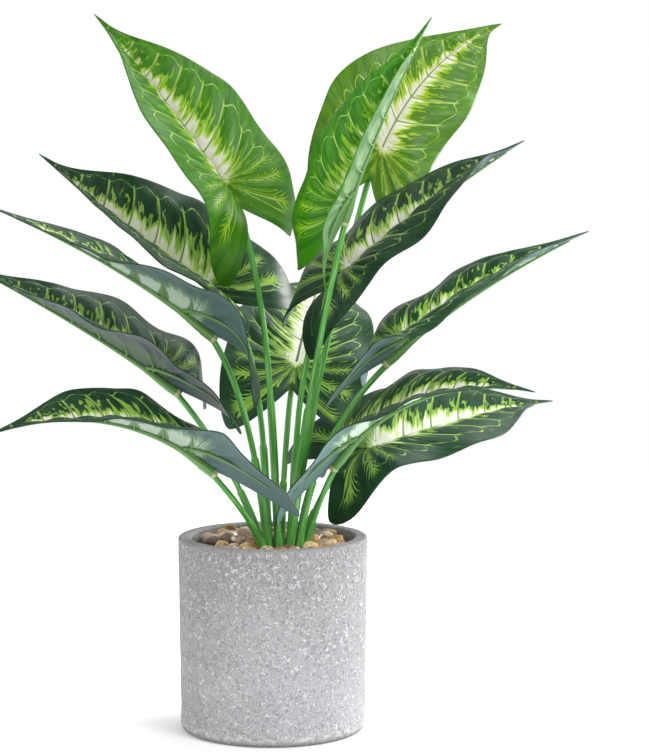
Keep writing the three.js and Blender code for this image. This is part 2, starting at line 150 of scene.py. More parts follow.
# A profile carried along a path: at each point a ring stands across the path, with its corners at radius
# x (1 + flute x cos(flutes x turn)). A ring of no radius at each end closes it. The third value is for
# patterns drawn along the piece: cosine and sine of the turn, and the way along the path in millimetres.
def sweep(path, radii, sides, across, flutes=0, flute=0.0):
    path = np.concatenate([path[:1], path, path[-1:]])
    radii = np.concatenate([[0], radii, [0]])
    tangent = np.gradient(path, axis=0)
    tangent[0], tangent[-1] = path[2] - path[1], path[-2] - path[-3]
    tangent = unit(tangent)
    sideways = unit(np.cross(tangent, across))
    upward = np.cross(sideways, tangent)
    turn = np.linspace(0, 2 * np.pi, sides, endpoint=False)
    reach = radii[:, None] * (1 + flute * np.cos(flutes * turn))
    ring = sideways[:, None] * np.cos(turn)[:, None] + upward[:, None] * np.sin(turn)[:, None]
    points = path[:, None] + ring * reach[..., None]
    run = np.concatenate([[0], np.cumsum(np.linalg.norm(np.diff(path, axis=0), axis=1))])
    drawn = np.stack(np.broadcast_arrays(np.cos(turn), np.sin(turn), run[:, None]), -1)
    triangles = gridTriangles(len(path), sides, closed=True, flip=True)
    return points.reshape(-1, 3), triangles, drawn.reshape(-1, 3)


def joined(parts):  # the points and triangles of several surfaces as one
    offsets = np.cumsum([0] + [len(part[0]) for part in parts])
    triangles = [part[1] + offset for part, offset in zip(parts, offsets)]
    return np.concatenate([part[0] for part in parts]), np.concatenate(triangles)


# Camera, light and floor, in metres: the camera stands in front and looks a little down and to the right.
view = {"place": (0, -1.44, 0.354), "down": 5.5, "right": 1.25, "lens": 114.56}
cameraData = bpy.data.cameras.new("camera")
cameraData.lens = view["lens"]
cameraData.sensor_width = 36
cameraData.clip_end = 50
camera = bpy.data.objects.new("camera", cameraData)
camera.location = view["place"]
camera.rotation_euler = (math.radians(90 - view["down"]), 0, math.radians(-view["right"]))
bpy.context.scene.collection.objects.link(camera)
bpy.context.scene.camera = camera
bpy.context.scene.view_settings.view_transform = "Standard"

# A soft key at the front right, a weak fill at the front left, one above and behind, a low one at the right.
light = {
    "key": {"place": (1.5, -1.5, 1.7), "aim": (0, 0, 0.2), "size": 1.3, "power": 36},
    "fill": {"place": (-1.8, -1.3, 1.0), "aim": (0, 0, 0.2), "size": 1.8, "power": 11},
    "top": {"place": (0.6, 0.6, 2.0), "aim": (0, 0, 0.2), "size": 1.4, "power": 17},
    "edge": {"place": (1.4, 0.8, 0.5), "aim": (0, 0, 0.12), "size": 0.7, "power": 24},
}
for name, one in light.items():
    lampData = bpy.data.lights.new(name, "AREA")
    lampData.shape = "DISK"
    lampData.size = one["size"]
    lampData.energy = one["power"]
    lamp = bpy.data.objects.new(name, lampData)
    aim = np.array(one["aim"]) - np.array(one["place"])
    lamp.location = one["place"]
    tilt, turn = math.acos(-aim[2] / np.linalg.norm(aim)), math.atan2(aim[1], aim[0]) - math.pi / 2
    lamp.rotation_euler = (tilt, 0, turn)
    bpy.context.scene.collection.objects.link(lamp)

# The surroundings are plain white: full where the camera sees them, dimmer where they light the plant.
surround = {"colour": "#ffffff", "asLight": 0.7, "asSeen": 1.0}
world = bpy.data.worlds.new("studio")
bpy.context.scene.world = world
world.use_nodes = True
world.node_tree.nodes.clear()
sky = addNode(world.node_tree, "Background", {"Color": surround["colour"], "Strength": surround["asLight"]})
paper = addNode(world.node_tree, "Background", {"Color": surround["colour"], "Strength": surround["asSeen"]})
seen = addNode(world.node_tree, "LightPath")
both = addNode(world.node_tree, "MixShader", {0: seen, 1: sky, 2: paper})
addNode(world.node_tree, "OutputWorld", {"Surface": both})

# Floor: matt white paper that glows a little, so that it comes out close to white. Sizes in millimetres.
floorPlan = {"halfSide": 1100.0, "height": -0.05}
floorPaint, tree = newMaterial("white_studio_paper")
shader = addNode(tree, "BsdfPrincipled", {
    "Base Color": "#f7f7f8", "Roughness": 0.9, "Specular IOR Level": 0.2,
    "Emission Color": "#ffffff", "Emission Strength": 0.12,
})
addNode(tree, "OutputMaterial", {"Surface": shader})
ends = np.linspace(-1, 1, 2) * floorPlan["halfSide"]
cornersX, cornersY = np.meshgrid(ends, ends, indexing="ij")
floorPoints = np.stack([cornersX.ravel(), cornersY.ravel(), np.full(4, floorPlan["height"])], 1)
floor = makePiece("floor", floorPoints, gridTriangles(2, 2, flip=True), [floorPaint], body=None, sharp=0)
print("camera, light and floor done")


# Printed polyester leaf cloth with a thin plastic film: a satin face that carries the printed pattern, a
# cream band along the midrib that frays into lime and then green, with fine veins. The attribute "print"
# holds the vein number (whole on a side vein), the share of the way out to the edge, and the share of the
# length, and "own" holds the leaf's seed, hue and lightness.
oldPrint = {
    "name": "printed_polyester_leaf_cloth_dark", "band": "#eae8dd", "feather": "#c8da8e", "lime": "#8cb548",
    "field": "#1c4627", "deep": "#12331d", "vein": "#38491f", "line": "#a3ca5e",
    "bandWidth": 0.245, "streak": 0.36, "rich": 1.0,
}
youngPrint = {
    "name": "printed_polyester_leaf_cloth_light", "band": "#ebeade", "feather": "#cfe095", "lime": "#98c14c",
    "field": "#4e8a1e", "deep": "#357018", "vein": "#5c822b", "line": "#b6d978",
    "bandWidth": 0.235, "streak": 0.15, "rich": 1.12,
}
# Strokes are marks per vein, per way out and per length. Widths of lines are shares of the veins'
# spacing, and the loop's place and width are shares of the way out.
printPlan = {
    "fineStroke": (13, 2.6, 1), "broadStroke": (5.5, 3.0, 1), "spotStroke": (7.0, 3.6, 2),
    "fray": 1.7, "sweep": 3.4, "veinPull": 0.5, "blotch": 0.535, "loopAt": 0.745, "loopBulge": 0.06,
    "loopWidth": 0.015, "lineWidth": 0.045, "coreWidth": 0.014,
}


def makeLeafFace(look):
    material, tree = newMaterial(look["name"])
    plan = printPlan
    fields = addNode(tree, "Attribute", out=1, attribute_name="print")
    number = addNode(tree, "SeparateXYZ", {0: fields})
    outward, along = number.node.outputs[1], number.node.outputs[2]
    own = addNode(tree, "Attribute", out=1, attribute_name="own")
    seed = addNode(tree, "SeparateXYZ", {0: own})
    hue, lightness = seed.node.outputs[1], seed.node.outputs[2]
    # Brush marks run out along the side veins: quick across them, slow along them.
    seedAlong = addNode(tree, "Math", {0: along, 1: seed}, operation="ADD")
    strokeAt = addNode(tree, "CombineXYZ", {0: number, 1: outward, 2: seedAlong})
    fineAt = addNode(tree, "VectorMath", {0: strokeAt, 1: plan["fineStroke"]}, operation="MULTIPLY")
    fine = addNode(tree, "TexNoise", {"Vector": fineAt, "Scale": 1.0, "Detail": 1.6, "Roughness": 0.5})
    broadAt = addNode(tree, "VectorMath", {0: strokeAt, 1: plan["broadStroke"]}, operation="MULTIPLY")
    broad = addNode(tree, "TexNoise", {"Vector": broadAt, "Scale": 1.0, "Detail": 2.0, "Distortion": 0.3})
    # Distance to the nearest side vein, and from the one before, as shares of their spacing; then how
    # much a point belongs to the inner part, to the lobes and to the tip.
    off = addNode(tree, "Math", {0: number, 1: 0.5}, operation="PINGPONG")
    past = addNode(tree, "Math", {0: number}, operation="FRACT")
    inner = addNode(tree, "MapRange", {0: outward, 1: 0.64, 2: 0.79, 3: 1.0, 4: 0.0}, **eased)
    inLobe = addNode(tree, "MapRange", {0: along, 1: -0.1, 2: 0.06, 3: 1.0, 4: 0.0}, **eased)
    nearTip = addNode(tree, "MapRange", {0: along, 1: 0.82, 2: 0.96}, **eased)
    # The pale band is widest at the joint, narrow at the tip and in the lobes, and reaches out a little
    # along each vein. place is 1 near its edge, and the noise moves that edge to and fro.
    atJoint, atTip = look["bandWidth"], look["bandWidth"] * 0.35
    ahead = addNode(tree, "MapRange", {0: along, 1: 0.0, 2: 1.0, 3: atJoint, 4: atTip})
    behind = addNode(tree, "MapRange", {0: along, 1: -0.2, 2: 0.05, 3: 0.16, 4: 1.0}, **eased)
    width = addNode(tree, "Math", {0: ahead, 1: behind}, operation="MULTIPLY")
    reach = addNode(tree, "Math", {0: outward, 1: width}, operation="DIVIDE")
    frayed = addNode(tree, "Math", {0: fine, 1: plan["fray"], 2: reach}, operation="MULTIPLY_ADD")
    frayed = addNode(tree, "Math", {0: broad, 1: plan["sweep"], 2: frayed}, operation="MULTIPLY_ADD")
    pull = addNode(tree, "MapRange", {0: off, 1: 0.0, 2: 0.2, 3: -plan["veinPull"], 4: 0.0}, **eased)
    place = addNode(tree, "Math", {0: frayed, 1: pull}, operation="ADD")
    middle = (plan["fray"] + plan["sweep"]) / 2
    place = addNode(tree, "Math", {0: place, 1: middle}, operation="SUBTRACT")
    place = addNode(tree, "Math", {0: nearTip, 1: 2.5, 2: place}, operation="MULTIPLY_ADD")
    # The field between the veins, with painted shade: a darker stroke along one side of some of them, beside
    # the pressed veins.
    shade = addNode(tree, "MapRange", {0: broad, 1: 0.34, 2: 0.62})
    colour = addNode(tree, "Mix", {0: shade, 6: look["deep"], 7: look["field"]}, **asColour)
    # Painted shade beside the pressed veins, not print.
    groove = addNode(tree, "MapRange", {0: past, 1: 0.03, 2: 0.15, 3: 0.75, 4: 0.0}, **eased)
    grooveShadeFade = addNode(tree, "MapRange", {0: broad, 1: 0.47, 2: 0.58})
    groove = addNode(tree, "Math", {0: groove, 1: grooveShadeFade}, operation="MULTIPLY")
    groove = addNode(tree, "Math", {0: groove, 1: inner}, operation="MULTIPLY")
    colour = addNode(tree, "Mix", {0: groove, 6: colour, 7: look["deep"]}, **asColour)
    # Lime blotches in the inner part, stretched along the veins and gone at the tip.
    spotAt = addNode(tree, "VectorMath", {0: strokeAt, 1: plan["spotStroke"]}, operation="MULTIPLY")
    spot = addNode(tree, "TexNoise", {"Vector": spotAt, "Scale": 1.0, "Detail": 1.5, "Distortion": 0.7})
    nearBand = addNode(tree, "MapRange", {0: outward, 1: 0.4, 2: 0.74, 3: 0.0, 4: 0.18})
    spot = addNode(tree, "Math", {0: spot, 1: nearBand}, operation="SUBTRACT")
    spot = addNode(tree, "Math", {0: nearTip, 1: -0.3, 2: spot}, operation="MULTIPLY_ADD")
    low, high = plan["blotch"], plan["blotch"] + 0.07
    spot = addNode(tree, "MapRange", {0: spot, 1: low, 2: high, 3: 0.0, 4: 0.85}, **eased)
    colour = addNode(tree, "Mix", {0: spot, 6: colour, 7: look["lime"]}, **asColour)
    # In the lobes the lime follows the veins as feathered streaks with barbs.
    barb = addNode(tree, "Math", {0: outward, 1: 11.0}, operation="MULTIPLY")
    barb = addNode(tree, "Math", {0: off, 1: -7.0, 2: barb}, operation="MULTIPLY_ADD")
    barb = addNode(tree, "Math", {0: broad, 1: 2.0, 2: barb}, operation="MULTIPLY_ADD")
    barb = addNode(tree, "Math", {0: barb, 1: 0.5}, operation="PINGPONG")
    barbWidth = addNode(tree, "MapRange", {0: off, 1: 0.02, 2: 0.44, 3: 0.3, 4: -0.04})
    barb = addNode(tree, "Math", {0: barb, 1: barbWidth}, operation="SUBTRACT")
    barb = addNode(tree, "MapRange", {0: barb, 1: -0.03, 2: 0.03, 3: 1.0, 4: 0.0}, **eased)
    least = look["streak"] * -0.28
    spread = addNode(tree, "Math", {0: fine, 1: look["streak"], 2: least}, operation="MULTIPLY_ADD")
    streak = addNode(tree, "Math", {0: off, 1: spread}, operation="SUBTRACT")
    streak = addNode(tree, "MapRange", {0: streak, 1: -0.02, 2: 0.04, 3: 1.0, 4: 0.0}, **eased)
    streak = addNode(tree, "Math", {0: streak, 1: barb}, operation="MAXIMUM")
    lobeEnd = addNode(tree, "MapRange", {0: outward, 1: 0.76, 2: 0.9, 3: 1.0, 4: 0.0}, **eased)
    streak = addNode(tree, "Math", {0: streak, 1: lobeEnd}, operation="MULTIPLY")
    streak = addNode(tree, "Math", {0: streak, 1: inLobe}, operation="MULTIPLY")
    colour = addNode(tree, "Mix", {0: streak, 6: colour, 7: look["lime"]}, **asColour)
    # Fine lime lines: along the side veins, and a scalloped loop that joins them inside the margin.
    wave = addNode(tree, "Math", {0: number, 1: 2 * math.pi}, operation="MULTIPLY")
    wave = addNode(tree, "Math", {0: wave}, operation="COSINE")
    rim = addNode(tree, "Math", {0: wave, 1: plan["loopBulge"], 2: outward}, operation="MULTIPLY_ADD")
    rim = addNode(tree, "Math", {0: rim, 1: plan["loopAt"]}, operation="SUBTRACT")
    rim = addNode(tree, "Math", {0: rim}, operation="ABSOLUTE")
    thin, wide = plan["loopWidth"] * 0.4, plan["loopWidth"]
    loop = addNode(tree, "MapRange", {0: rim, 1: thin, 2: wide, 3: 1.0, 4: 0.0}, **eased)
    loopFade = addNode(tree, "MapRange", {0: broad, 1: 0.4, 2: 0.6, 3: 0.85, 4: 0.1})
    loop = addNode(tree, "Math", {0: loop, 1: loopFade}, operation="MULTIPLY")
    loopPart = addNode(tree, "MapRange", {0: along, 1: -0.12, 2: 0.02})
    loop = addNode(tree, "Math", {0: loop, 1: loopPart}, operation="MULTIPLY")
    thin, wide = plan["lineWidth"] * 0.4, plan["lineWidth"]
    side = addNode(tree, "MapRange", {0: off, 1: thin, 2: wide, 3: 1.0, 4: 0.0}, **eased)
    sideFade = addNode(tree, "MapRange", {0: fine, 1: 0.3, 2: 0.65, 3: 1.0, 4: 0.7})
    side = addNode(tree, "Math", {0: side, 1: sideFade}, operation="MULTIPLY")
    lines = addNode(tree, "Math", {0: side, 1: inner}, operation="MULTIPLY")
    lines = addNode(tree, "Math", {0: lines, 1: loop}, operation="MAXIMUM")
    lines = addNode(tree, "Math", {0: lines, 1: nearTip}, operation="SUBTRACT", use_clamp=True)
    colour = addNode(tree, "Mix", {0: lines, 6: colour, 7: look["line"]}, **asColour)
    # The pale band over all that: lime, then pale green, then cream.
    lime = addNode(tree, "MapRange", {0: place, 1: 1.2, 2: 1.5, 3: 1.0, 4: 0.0}, **eased)
    colour = addNode(tree, "Mix", {0: lime, 6: colour, 7: look["lime"]}, **asColour)
    feather = addNode(tree, "MapRange", {0: place, 1: 0.78, 2: 1.12, 3: 1.0, 4: 0.0}, **eased)
    colour = addNode(tree, "Mix", {0: feather, 6: colour, 7: look["feather"]}, **asColour)
    band = addNode(tree, "MapRange", {0: place, 1: 0.45, 2: 0.72, 3: 1.0, 4: 0.0}, **eased)
    colour = addNode(tree, "Mix", {0: band, 6: colour, 7: look["band"]}, **asColour)
    # Each side vein has lime flanks and a dark core. The core fades towards the margin, but in the lobes
    # it is wider and runs further, and the midrib is dark too.
    flank = addNode(tree, "MapRange", {0: off, 1: 0.02, 2: 0.06, 3: 0.65, 4: 0.0}, **eased)
    flank = addNode(tree, "Math", {0: flank, 1: inner}, operation="MULTIPLY")
    colour = addNode(tree, "Mix", {0: flank, 6: colour, 7: look["line"]}, **asColour)
    coreThin = addNode(tree, "MapRange", {0: inLobe, 3: 1.0, 4: 0.38})
    coreOff = addNode(tree, "Math", {0: off, 1: coreThin}, operation="MULTIPLY")
    thin, wide = plan["coreWidth"], plan["coreWidth"] * 2.2
    core = addNode(tree, "MapRange", {0: coreOff, 1: thin, 2: wide, 3: 0.85, 4: 0.0}, **eased)
    coreEnd = addNode(tree, "MapRange", {0: outward, 1: 0.3, 2: 0.62, 3: 1.0, 4: 0.12})
    lobeCore = addNode(tree, "MapRange", {0: outward, 1: 0.45, 2: 0.8, 3: 0.9, 4: 0.0})
    lobeCore = addNode(tree, "Math", {0: lobeCore, 1: inLobe}, operation="MULTIPLY")
    coreEnd = addNode(tree, "Math", {0: coreEnd, 1: lobeCore}, operation="MAXIMUM")
    core = addNode(tree, "Math", {0: core, 1: coreEnd}, operation="MULTIPLY")
    mid = addNode(tree, "MapRange", {0: outward, 1: 0.012, 2: 0.028, 3: 0.9, 4: 0.0}, **eased)
    core = addNode(tree, "Math", {0: core, 1: mid}, operation="MAXIMUM")
    colour = addNode(tree, "Mix", {0: core, 6: colour, 7: look["vein"]}, **asColour)
    # Each leaf has a hue of its own, and a lightness that is partly its own tone and partly painted light
    # and shade.
    colour = addNode(tree, "HueSaturation", {
        "Hue": hue, "Saturation": look["rich"], "Value": lightness, "Color": colour,
    })
    grain = addNode(tree, "Math", {0: fine, 1: 0.5, 2: off}, operation="MULTIPLY_ADD")
    bump = addNode(tree, "Bump", {"Strength": 0.4, "Distance": 0.0003, "Height": grain})
    gloss = addNode(tree, "MapRange", {0: fine, 3: 0.34, 4: 0.52})
    shader = addNode(tree, "BsdfPrincipled", {
        "Base Color": colour, "Roughness": gloss, "Normal": bump, "IOR": 1.47, "Specular IOR Level": 0.33,
        "Sheen Weight": 0.05, "Sheen Roughness": 0.4, "Sheen Tint": "#dfe6f2",
    })
    addNode(tree, "OutputMaterial", {"Surface": shader})
    return material


# The unprinted back of the same cloth: slate green, with the band showing through as pale panels near the
# rib, parted by green wedges at the side veins. The attribute "back" holds a lightness, partly painted
# shade, and the panels' share.
oldBack = {
    "name": "polyester_leaf_cloth_back_dark", "panel": "#b4c4b4", "edge": "#77986a",
    "field": "#54706f", "deep": "#465f5c", "vein": "#466f3c",
}
youngBack = {
    "name": "polyester_leaf_cloth_back_light", "panel": "#b3d09f", "edge": "#90bb76",
    "field": "#6a9c58", "deep": "#528544", "vein": "#5c9448",
}
backStroke = (7, 5, 2)  # marks per vein, per way out and per length


def makeLeafBack(look):
    material, tree = newMaterial(look["name"])
    fields = addNode(tree, "Attribute", out=1, attribute_name="print")
    number = addNode(tree, "SeparateXYZ", {0: fields})
    outward, along = number.node.outputs[1], number.node.outputs[2]
    strokeAt = addNode(tree, "VectorMath", {0: fields, 1: backStroke}, operation="MULTIPLY")
    stroke = addNode(tree, "TexNoise", {"Vector": strokeAt, "Scale": 1.0, "Detail": 3.0, "Roughness": 0.6})
    ahead = addNode(tree, "MapRange", {0: along, 1: 0.0, 2: 0.85, 3: 0.46, 4: 0.04})
    behind = addNode(tree, "MapRange", {0: along, 1: -0.2, 2: 0.0, 3: 0.25, 4: 1.0}, **eased)
    width = addNode(tree, "Math", {0: ahead, 1: behind}, operation="MULTIPLY")
    reach = addNode(tree, "Math", {0: outward, 1: width}, operation="DIVIDE")
    place = addNode(tree, "Math", {0: stroke, 1: 1.2, 2: reach}, operation="MULTIPLY_ADD")
    nearTip = addNode(tree, "MapRange", {0: along, 1: 0.7, 2: 0.9}, **eased)
    place = addNode(tree, "Math", {0: nearTip, 1: 1.5, 2: place}, operation="MULTIPLY_ADD")
    cloth = addNode(tree, "Mix", {0: stroke, 6: look["deep"], 7: look["field"]}, **asColour)
    halo = addNode(tree, "MapRange", {0: place, 1: 1.4, 2: 1.9, 3: 0.7, 4: 0.0}, **eased)
    colour = addNode(tree, "Mix", {0: halo, 6: cloth, 7: look["edge"]}, **asColour)
    own = addNode(tree, "Attribute", out=1, attribute_name="back")
    lightness = addNode(tree, "SeparateXYZ", {0: own})
    panel = addNode(tree, "MapRange", {0: place, 1: 1.15, 2: 1.55, 3: 0.9, 4: 0.0}, **eased)
    panelShare = lightness.node.outputs[1]
    panel = addNode(tree, "Math", {0: panel, 1: panelShare}, operation="MULTIPLY")
    colour = addNode(tree, "Mix", {0: panel, 6: colour, 7: look["panel"]}, **asColour)
    off = addNode(tree, "Math", {0: number, 1: 0.5}, operation="PINGPONG")
    wedge = addNode(tree, "MapRange", {0: outward, 1: 0.04, 2: 0.36, 3: 0.2, 4: 0.02})
    vein = addNode(tree, "Math", {0: off, 1: wedge}, operation="SUBTRACT")
    vein = addNode(tree, "MapRange", {0: vein, 1: -0.02, 2: 0.03, 3: 0.8, 4: 0.0}, **eased)
    veinEnd = addNode(tree, "MapRange", {0: outward, 1: 0.35, 2: 0.75, 3: 1.0, 4: 0.15})
    vein = addNode(tree, "Math", {0: vein, 1: veinEnd}, operation="MULTIPLY")
    colour = addNode(tree, "Mix", {0: vein, 6: colour, 7: look["vein"]}, **asColour)
    # The back's lightness per leaf: partly its own tone, partly painted shade.
    colour = addNode(tree, "HueSaturation", {"Value": lightness, "Color": colour})
    bump = addNode(tree, "Bump", {"Strength": 0.3, "Distance": 0.0003, "Height": stroke})
    shader = addNode(tree, "BsdfPrincipled", {
        "Base Color": colour, "Roughness": 0.5, "Normal": bump, "IOR": 1.48, "Specular IOR Level": 0.45,
        "Sheen Weight": 0.1, "Sheen Roughness": 0.5, "Sheen Tint": "#dfe8ef",
    })
    addNode(tree, "OutputMaterial", {"Surface": shader})
    return material


# Moulded polyethylene: waxy, a soft wide highlight, with streaks of lighter and darker green drawn out
# along the piece; on the stems the lighter streaks are partly the plastic's own tone and partly painted
# highlight. "drawn" holds the cosine and sine of the turn, and the millimetres along the piece.
drawnStroke = (2.2, 2.2, 0.035)  # streaks about 30 mm long


def makePolyethylene(name, dark, mid, pale, roughness):
    material, tree = newMaterial(name)
    place = addNode(tree, "Attribute", out=1, attribute_name="drawn")
    drawn = addNode(tree, "VectorMath", {0: place, 1: drawnStroke}, operation="MULTIPLY")
    streak = addNode(tree, "TexNoise", {"Vector": drawn, "Scale": 1.0, "Detail": 2.0})
    colour = addNode(tree, "ValToRGB", {0: streak}, stops=[(0.3, dark), (0.52, mid), (0.75, pale)])
    bump = addNode(tree, "Bump", {"Strength": 0.3, "Distance": 0.0003, "Height": streak})
    shader = addNode(tree, "BsdfPrincipled", {
        "Base Color": colour, "Roughness": roughness, "Normal": bump, "IOR": 1.51, "Specular IOR Level": 0.5,
        "Subsurface Weight": 0.08, "Subsurface Radius": (0.002, 0.003, 0.001), "Subsurface Scale": 1.0,
    })
    addNode(tree, "OutputMaterial", {"Surface": shader})
    return material


darkFace, lightFace = makeLeafFace(oldPrint), makeLeafFace(youngPrint)
darkBack, lightBack = makeLeafBack(oldBack), makeLeafBack(youngBack)
# Stems: the pale streaks are partly painted highlight along the flutes.
stemPlastic = makePolyethylene("moulded_polyethylene_stem", "#357a2a", "#56a243", "#98d07f", 0.3)
ribPlastic = makePolyethylene("moulded_polyethylene_rib", "#4b7a3a", "#63924c", "#84a96c", 0.42)
nubPlastic = makePolyethylene("moulded_polyethylene_nub", "#9aa566", "#b4bd82", "#d2d6a8", 0.45)
print("leaf materials done")


# The flat leaf that every blade is bent from, as shares of its length and half width. thick, groove, quilt
# and ripple are millimetres, and quilt and ripple lift the cloth by up to twice their value. lobeVein is
# the degrees between the veins of a lobe, and rows counts those in the lobe, at the notch and ahead.
leafPlan = {
    "sinus": 0.16, "lobeMiddle": 0.72, "shoulder": 0.93, "point": 0.12, "wavesAlong": 2.4, "thick": 0.7,
    "veinSpacing": 0.15, "veinLean": 0.25, "veinCurve": 0.014, "lobeVein": 20, "quilt": 0.5, "groove": 0.45,
    "ripple": 0.35, "rows": (30, 12, 104), "columns": 34,
}
# Each leaf: joint, tip and the stem's foot, bow and sway of the midrib in millimetres, and faces, the way
# its upper face looks. tint is the hue of its face, and toneAndShading its lightness, partly its own tone
# and partly painted light and shade; back is the lightness of its underside, partly painted shade, and the
# share of its pale panels, bend a push sideways on the stem's curve, and flatLobe how far each half's curl
# is taken out at its lobe. Each half, left then right, has its width, taper, lobe, fold in degrees at the
# lobe's end, at the joint and at the tip, curl in degrees, drop, wave and phase.
leaves = [
    dict(joint=(-30, -14, 334), tip=(-107, 20, 433), faces=(0.4, -0.85, 0.3), foot=(4, -2.6),
         bow=3, sway=0, tint=0.5, toneAndShading=0.73,
         halves=[(38, 1.45, 0.42, (-16, 60, 44), 44, 11, 2.4, 0.65),
                 (40, 1.6, 0.37, (-10, 36, 38), 48, 0, 2, 0.5)]),
    dict(joint=(68.4, 46, 353), tip=(148, 108, 432), faces=(0.38, -0.86, 0.33), foot=(10, 4.4),
         bow=3, sway=-11, tint=0.485, toneAndShading=0.78,
         halves=[(50, 0.9, 0.4, (8, 22, 30), 44, 3, 2, 0.45),
                 (35, 2.4, 0.3, (40, 40, 24), 46, 3, 2.4, 0.3)]),
    dict(joint=(45.1, -60, 324), tip=(90, -80, 426), faces=(-0.52, -0.8, 0.26), foot=(9.8, -8.6),
         bow=6, sway=2, tint=0.51, toneAndShading=0.98, back=(0.74, 0.25), bend=(0, -2),
         halves=[(36, 1.25, 0.54, (34, 60, 40), 92, 8, 2, 0.8),
                 (34, 1.45, 0.42, (56, 84, 72), 30, 0, 1.5, 0.3)]),
    dict(joint=(-41.3, 24, 270), tip=(-143, 38, 349), faces=(0.33, -0.85, 0.41), foot=(-1.5, 5),
         bow=2, sway=-3, tint=0.5, toneAndShading=1.05,
         halves=[(37, 1.3, 0.3, (50, 72, 60), 30, 0, 2, 0.3),
                 (42, 1.6, 0.42, (0, 40, 30), 54, 5, 2, 0.7)]),
    dict(joint=(-48.3, -30, 254), tip=(-162, -44, 318), faces=(0.45, 0.06, 0.88), foot=(-1.5, -6.3),
         bow=4, sway=0, tint=0.505, toneAndShading=0.85,
         halves=[(39, 1.45, 0.46, (0, 48, -14), 32, 17, 2, 0.6),
                 (38, 1.45, 0.28, (20, 31, 28), 30, 0, 2, 0.1)]),
    dict(joint=(-71.6, 7, 217), tip=(-184, 21, 281), faces=(0.45, -0.12, 0.88), foot=(-3.5, -0.6),
         bow=2, sway=0, tint=0.5, toneAndShading=1, back=(0.45, 0.08),
         halves=[(39, 1.45, 0.5, (34, 50, 16), 32, 5, 2.2, 0),
                 (38, 1.35, 0.28, (0, 48, 50), 36, 0, 2.4, 0.4)]),
    dict(joint=(-48.2, -47, 175), tip=(-161, -80, 190), faces=(0.12, -0.06, 0.98), foot=(-2.5, -12),
         bow=14, sway=0, tint=0.5, toneAndShading=0.85,
         halves=[(39, 1.45, 0.46, (40, 46, 0), 34, 0, 2, 0.2),
                 (38, 1.45, 0.24, (20, 43, 54), 44, 0, 2, 0.6)]),
    dict(joint=(15, 44, 220), tip=(34, 138, 264), faces=(0, -0.7, 0.72), foot=(4.6, 7.8),
         bow=12, sway=0, tint=0.5, toneAndShading=1.4,
         halves=[(46, 1.45, 0.4, (4, 18, 12), 26, 3, 3, 0.7),
                 (46, 1.45, 0.32, (4, 16, 12), 34, 0, 3, 0.2)]),
    dict(joint=(47, -4, 281), tip=(153, 16, 357), faces=(-0.35, -0.45, 0.82), foot=(10, -1.6),
         bow=3, sway=0, tint=0.5, toneAndShading=0.76, back=(0.75, 0.3),
         halves=[(37, 1.55, 0.4, (4, 31, 34), 62, 9, 2, 0.5),
                 (34, 2.3, 0.42, (0, 46, 70), 80, 5, 2.4, 0)]),
    dict(joint=(80.3, -22, 238), tip=(189, -12, 303), faces=(-0.45, -0.22, 0.86), foot=(15.8, -10.7),
         bow=4, sway=0, tint=0.5, toneAndShading=1.2, back=(1.25, 0.5), bend=(-9, 8), flatLobe=(0, 1),
         halves=[(37, 1.3, 0.3, (0, 44, 34), 60, 5, 2, 0.15),
                 (39, 1.45, 0.48, (34, 54, 40), 70, 8, 2.4, 0.5)]),
    dict(joint=(47, -20, 177), tip=(153, -56, 211), faces=(-0.25, -0.04, 0.96), foot=(18.4, -4.6),
         bow=15, sway=0, tint=0.495, toneAndShading=1, back=(1.6, 1.0),
         halves=[(38, 1.7, 0.28, (26, 50, 36), 56, 0, 2, 0.4),
                 (39, 1.45, 0.41, (20, 28, 8), 30, 0, 2, 0)]),
    dict(joint=(64, 38, 167), tip=(181, 92, 190), faces=(-0.12, -0.72, 0.68), foot=(15.6, 2.6),
         bow=5, sway=0, tint=0.5, toneAndShading=1.15,
         halves=[(38, 1.45, 0.4, (10, 34, 20), 50, 19, 2.2, 0.9),
                 (44, 2.1, 0.35, (-10, 56, 50), 50, 2, 2.4, 0.35)]),
]
lightLeaves = 3  # the first three are young


# The directions a leaf is bent in: along its chord, out of its upper face and to its right, and its length.
def leafFrame(leaf):
    joint, tip = np.array(leaf["joint"], float), np.array(leaf["tip"], float)
    length = np.linalg.norm(tip - joint)
    along = (tip - joint) / length
    up = np.array(leaf["faces"], float)
    up = unit(up - along * (up @ along))
    return joint, along, up, np.cross(along, up), length


# The midrib: a parabola that rises by bow and swings by sway at its middle. It gives points and the way up.
def midrib(leaf, s):
    joint, along, up, right, length = leafFrame(leaf)
    lift = (4 * s * (1 - s))[..., None]
    slope = (4 * (1 - 2 * s) * leaf["bow"] / length)[..., None]
    point = joint + along * length * s[..., None] + up * leaf["bow"] * lift + right * leaf["sway"] * lift
    return point, unit(up - along * slope)


# The outer edge at a share s of the length: ahead of the joint a cosine bell with a pointed tip added to
# it, behind it a quarter ellipse round the lobe.
def outerEdge(s, lobe, taper):
    plan = leafPlan
    toOne = 6.75  # s squared times (1 - s) is 1 / 6.75 at most
    lobeSide = plan["lobeMiddle"] + (1 - plan["lobeMiddle"]) * np.sqrt(np.clip(1 - (s / lobe) ** 2, 0, 1))
    bell = 0.5 + 0.5 * np.cos(np.pi * np.clip(s / plan["shoulder"], 0, 1) ** taper)
    return np.where(s < 0, lobeSide, bell + plan["point"] * toOne * s ** 2 * (1 - s))


# The edge of the notch between the lobes: halfway between a straight V and a quarter ellipse.
def innerEdge(s, lobe):
    back = np.clip((-s - leafPlan["sinus"]) / (lobe - leafPlan["sinus"]), 0, 1)
    return leafPlan["lobeMiddle"] * (back + 1 - np.sqrt(1 - back ** 2)) * 0.5


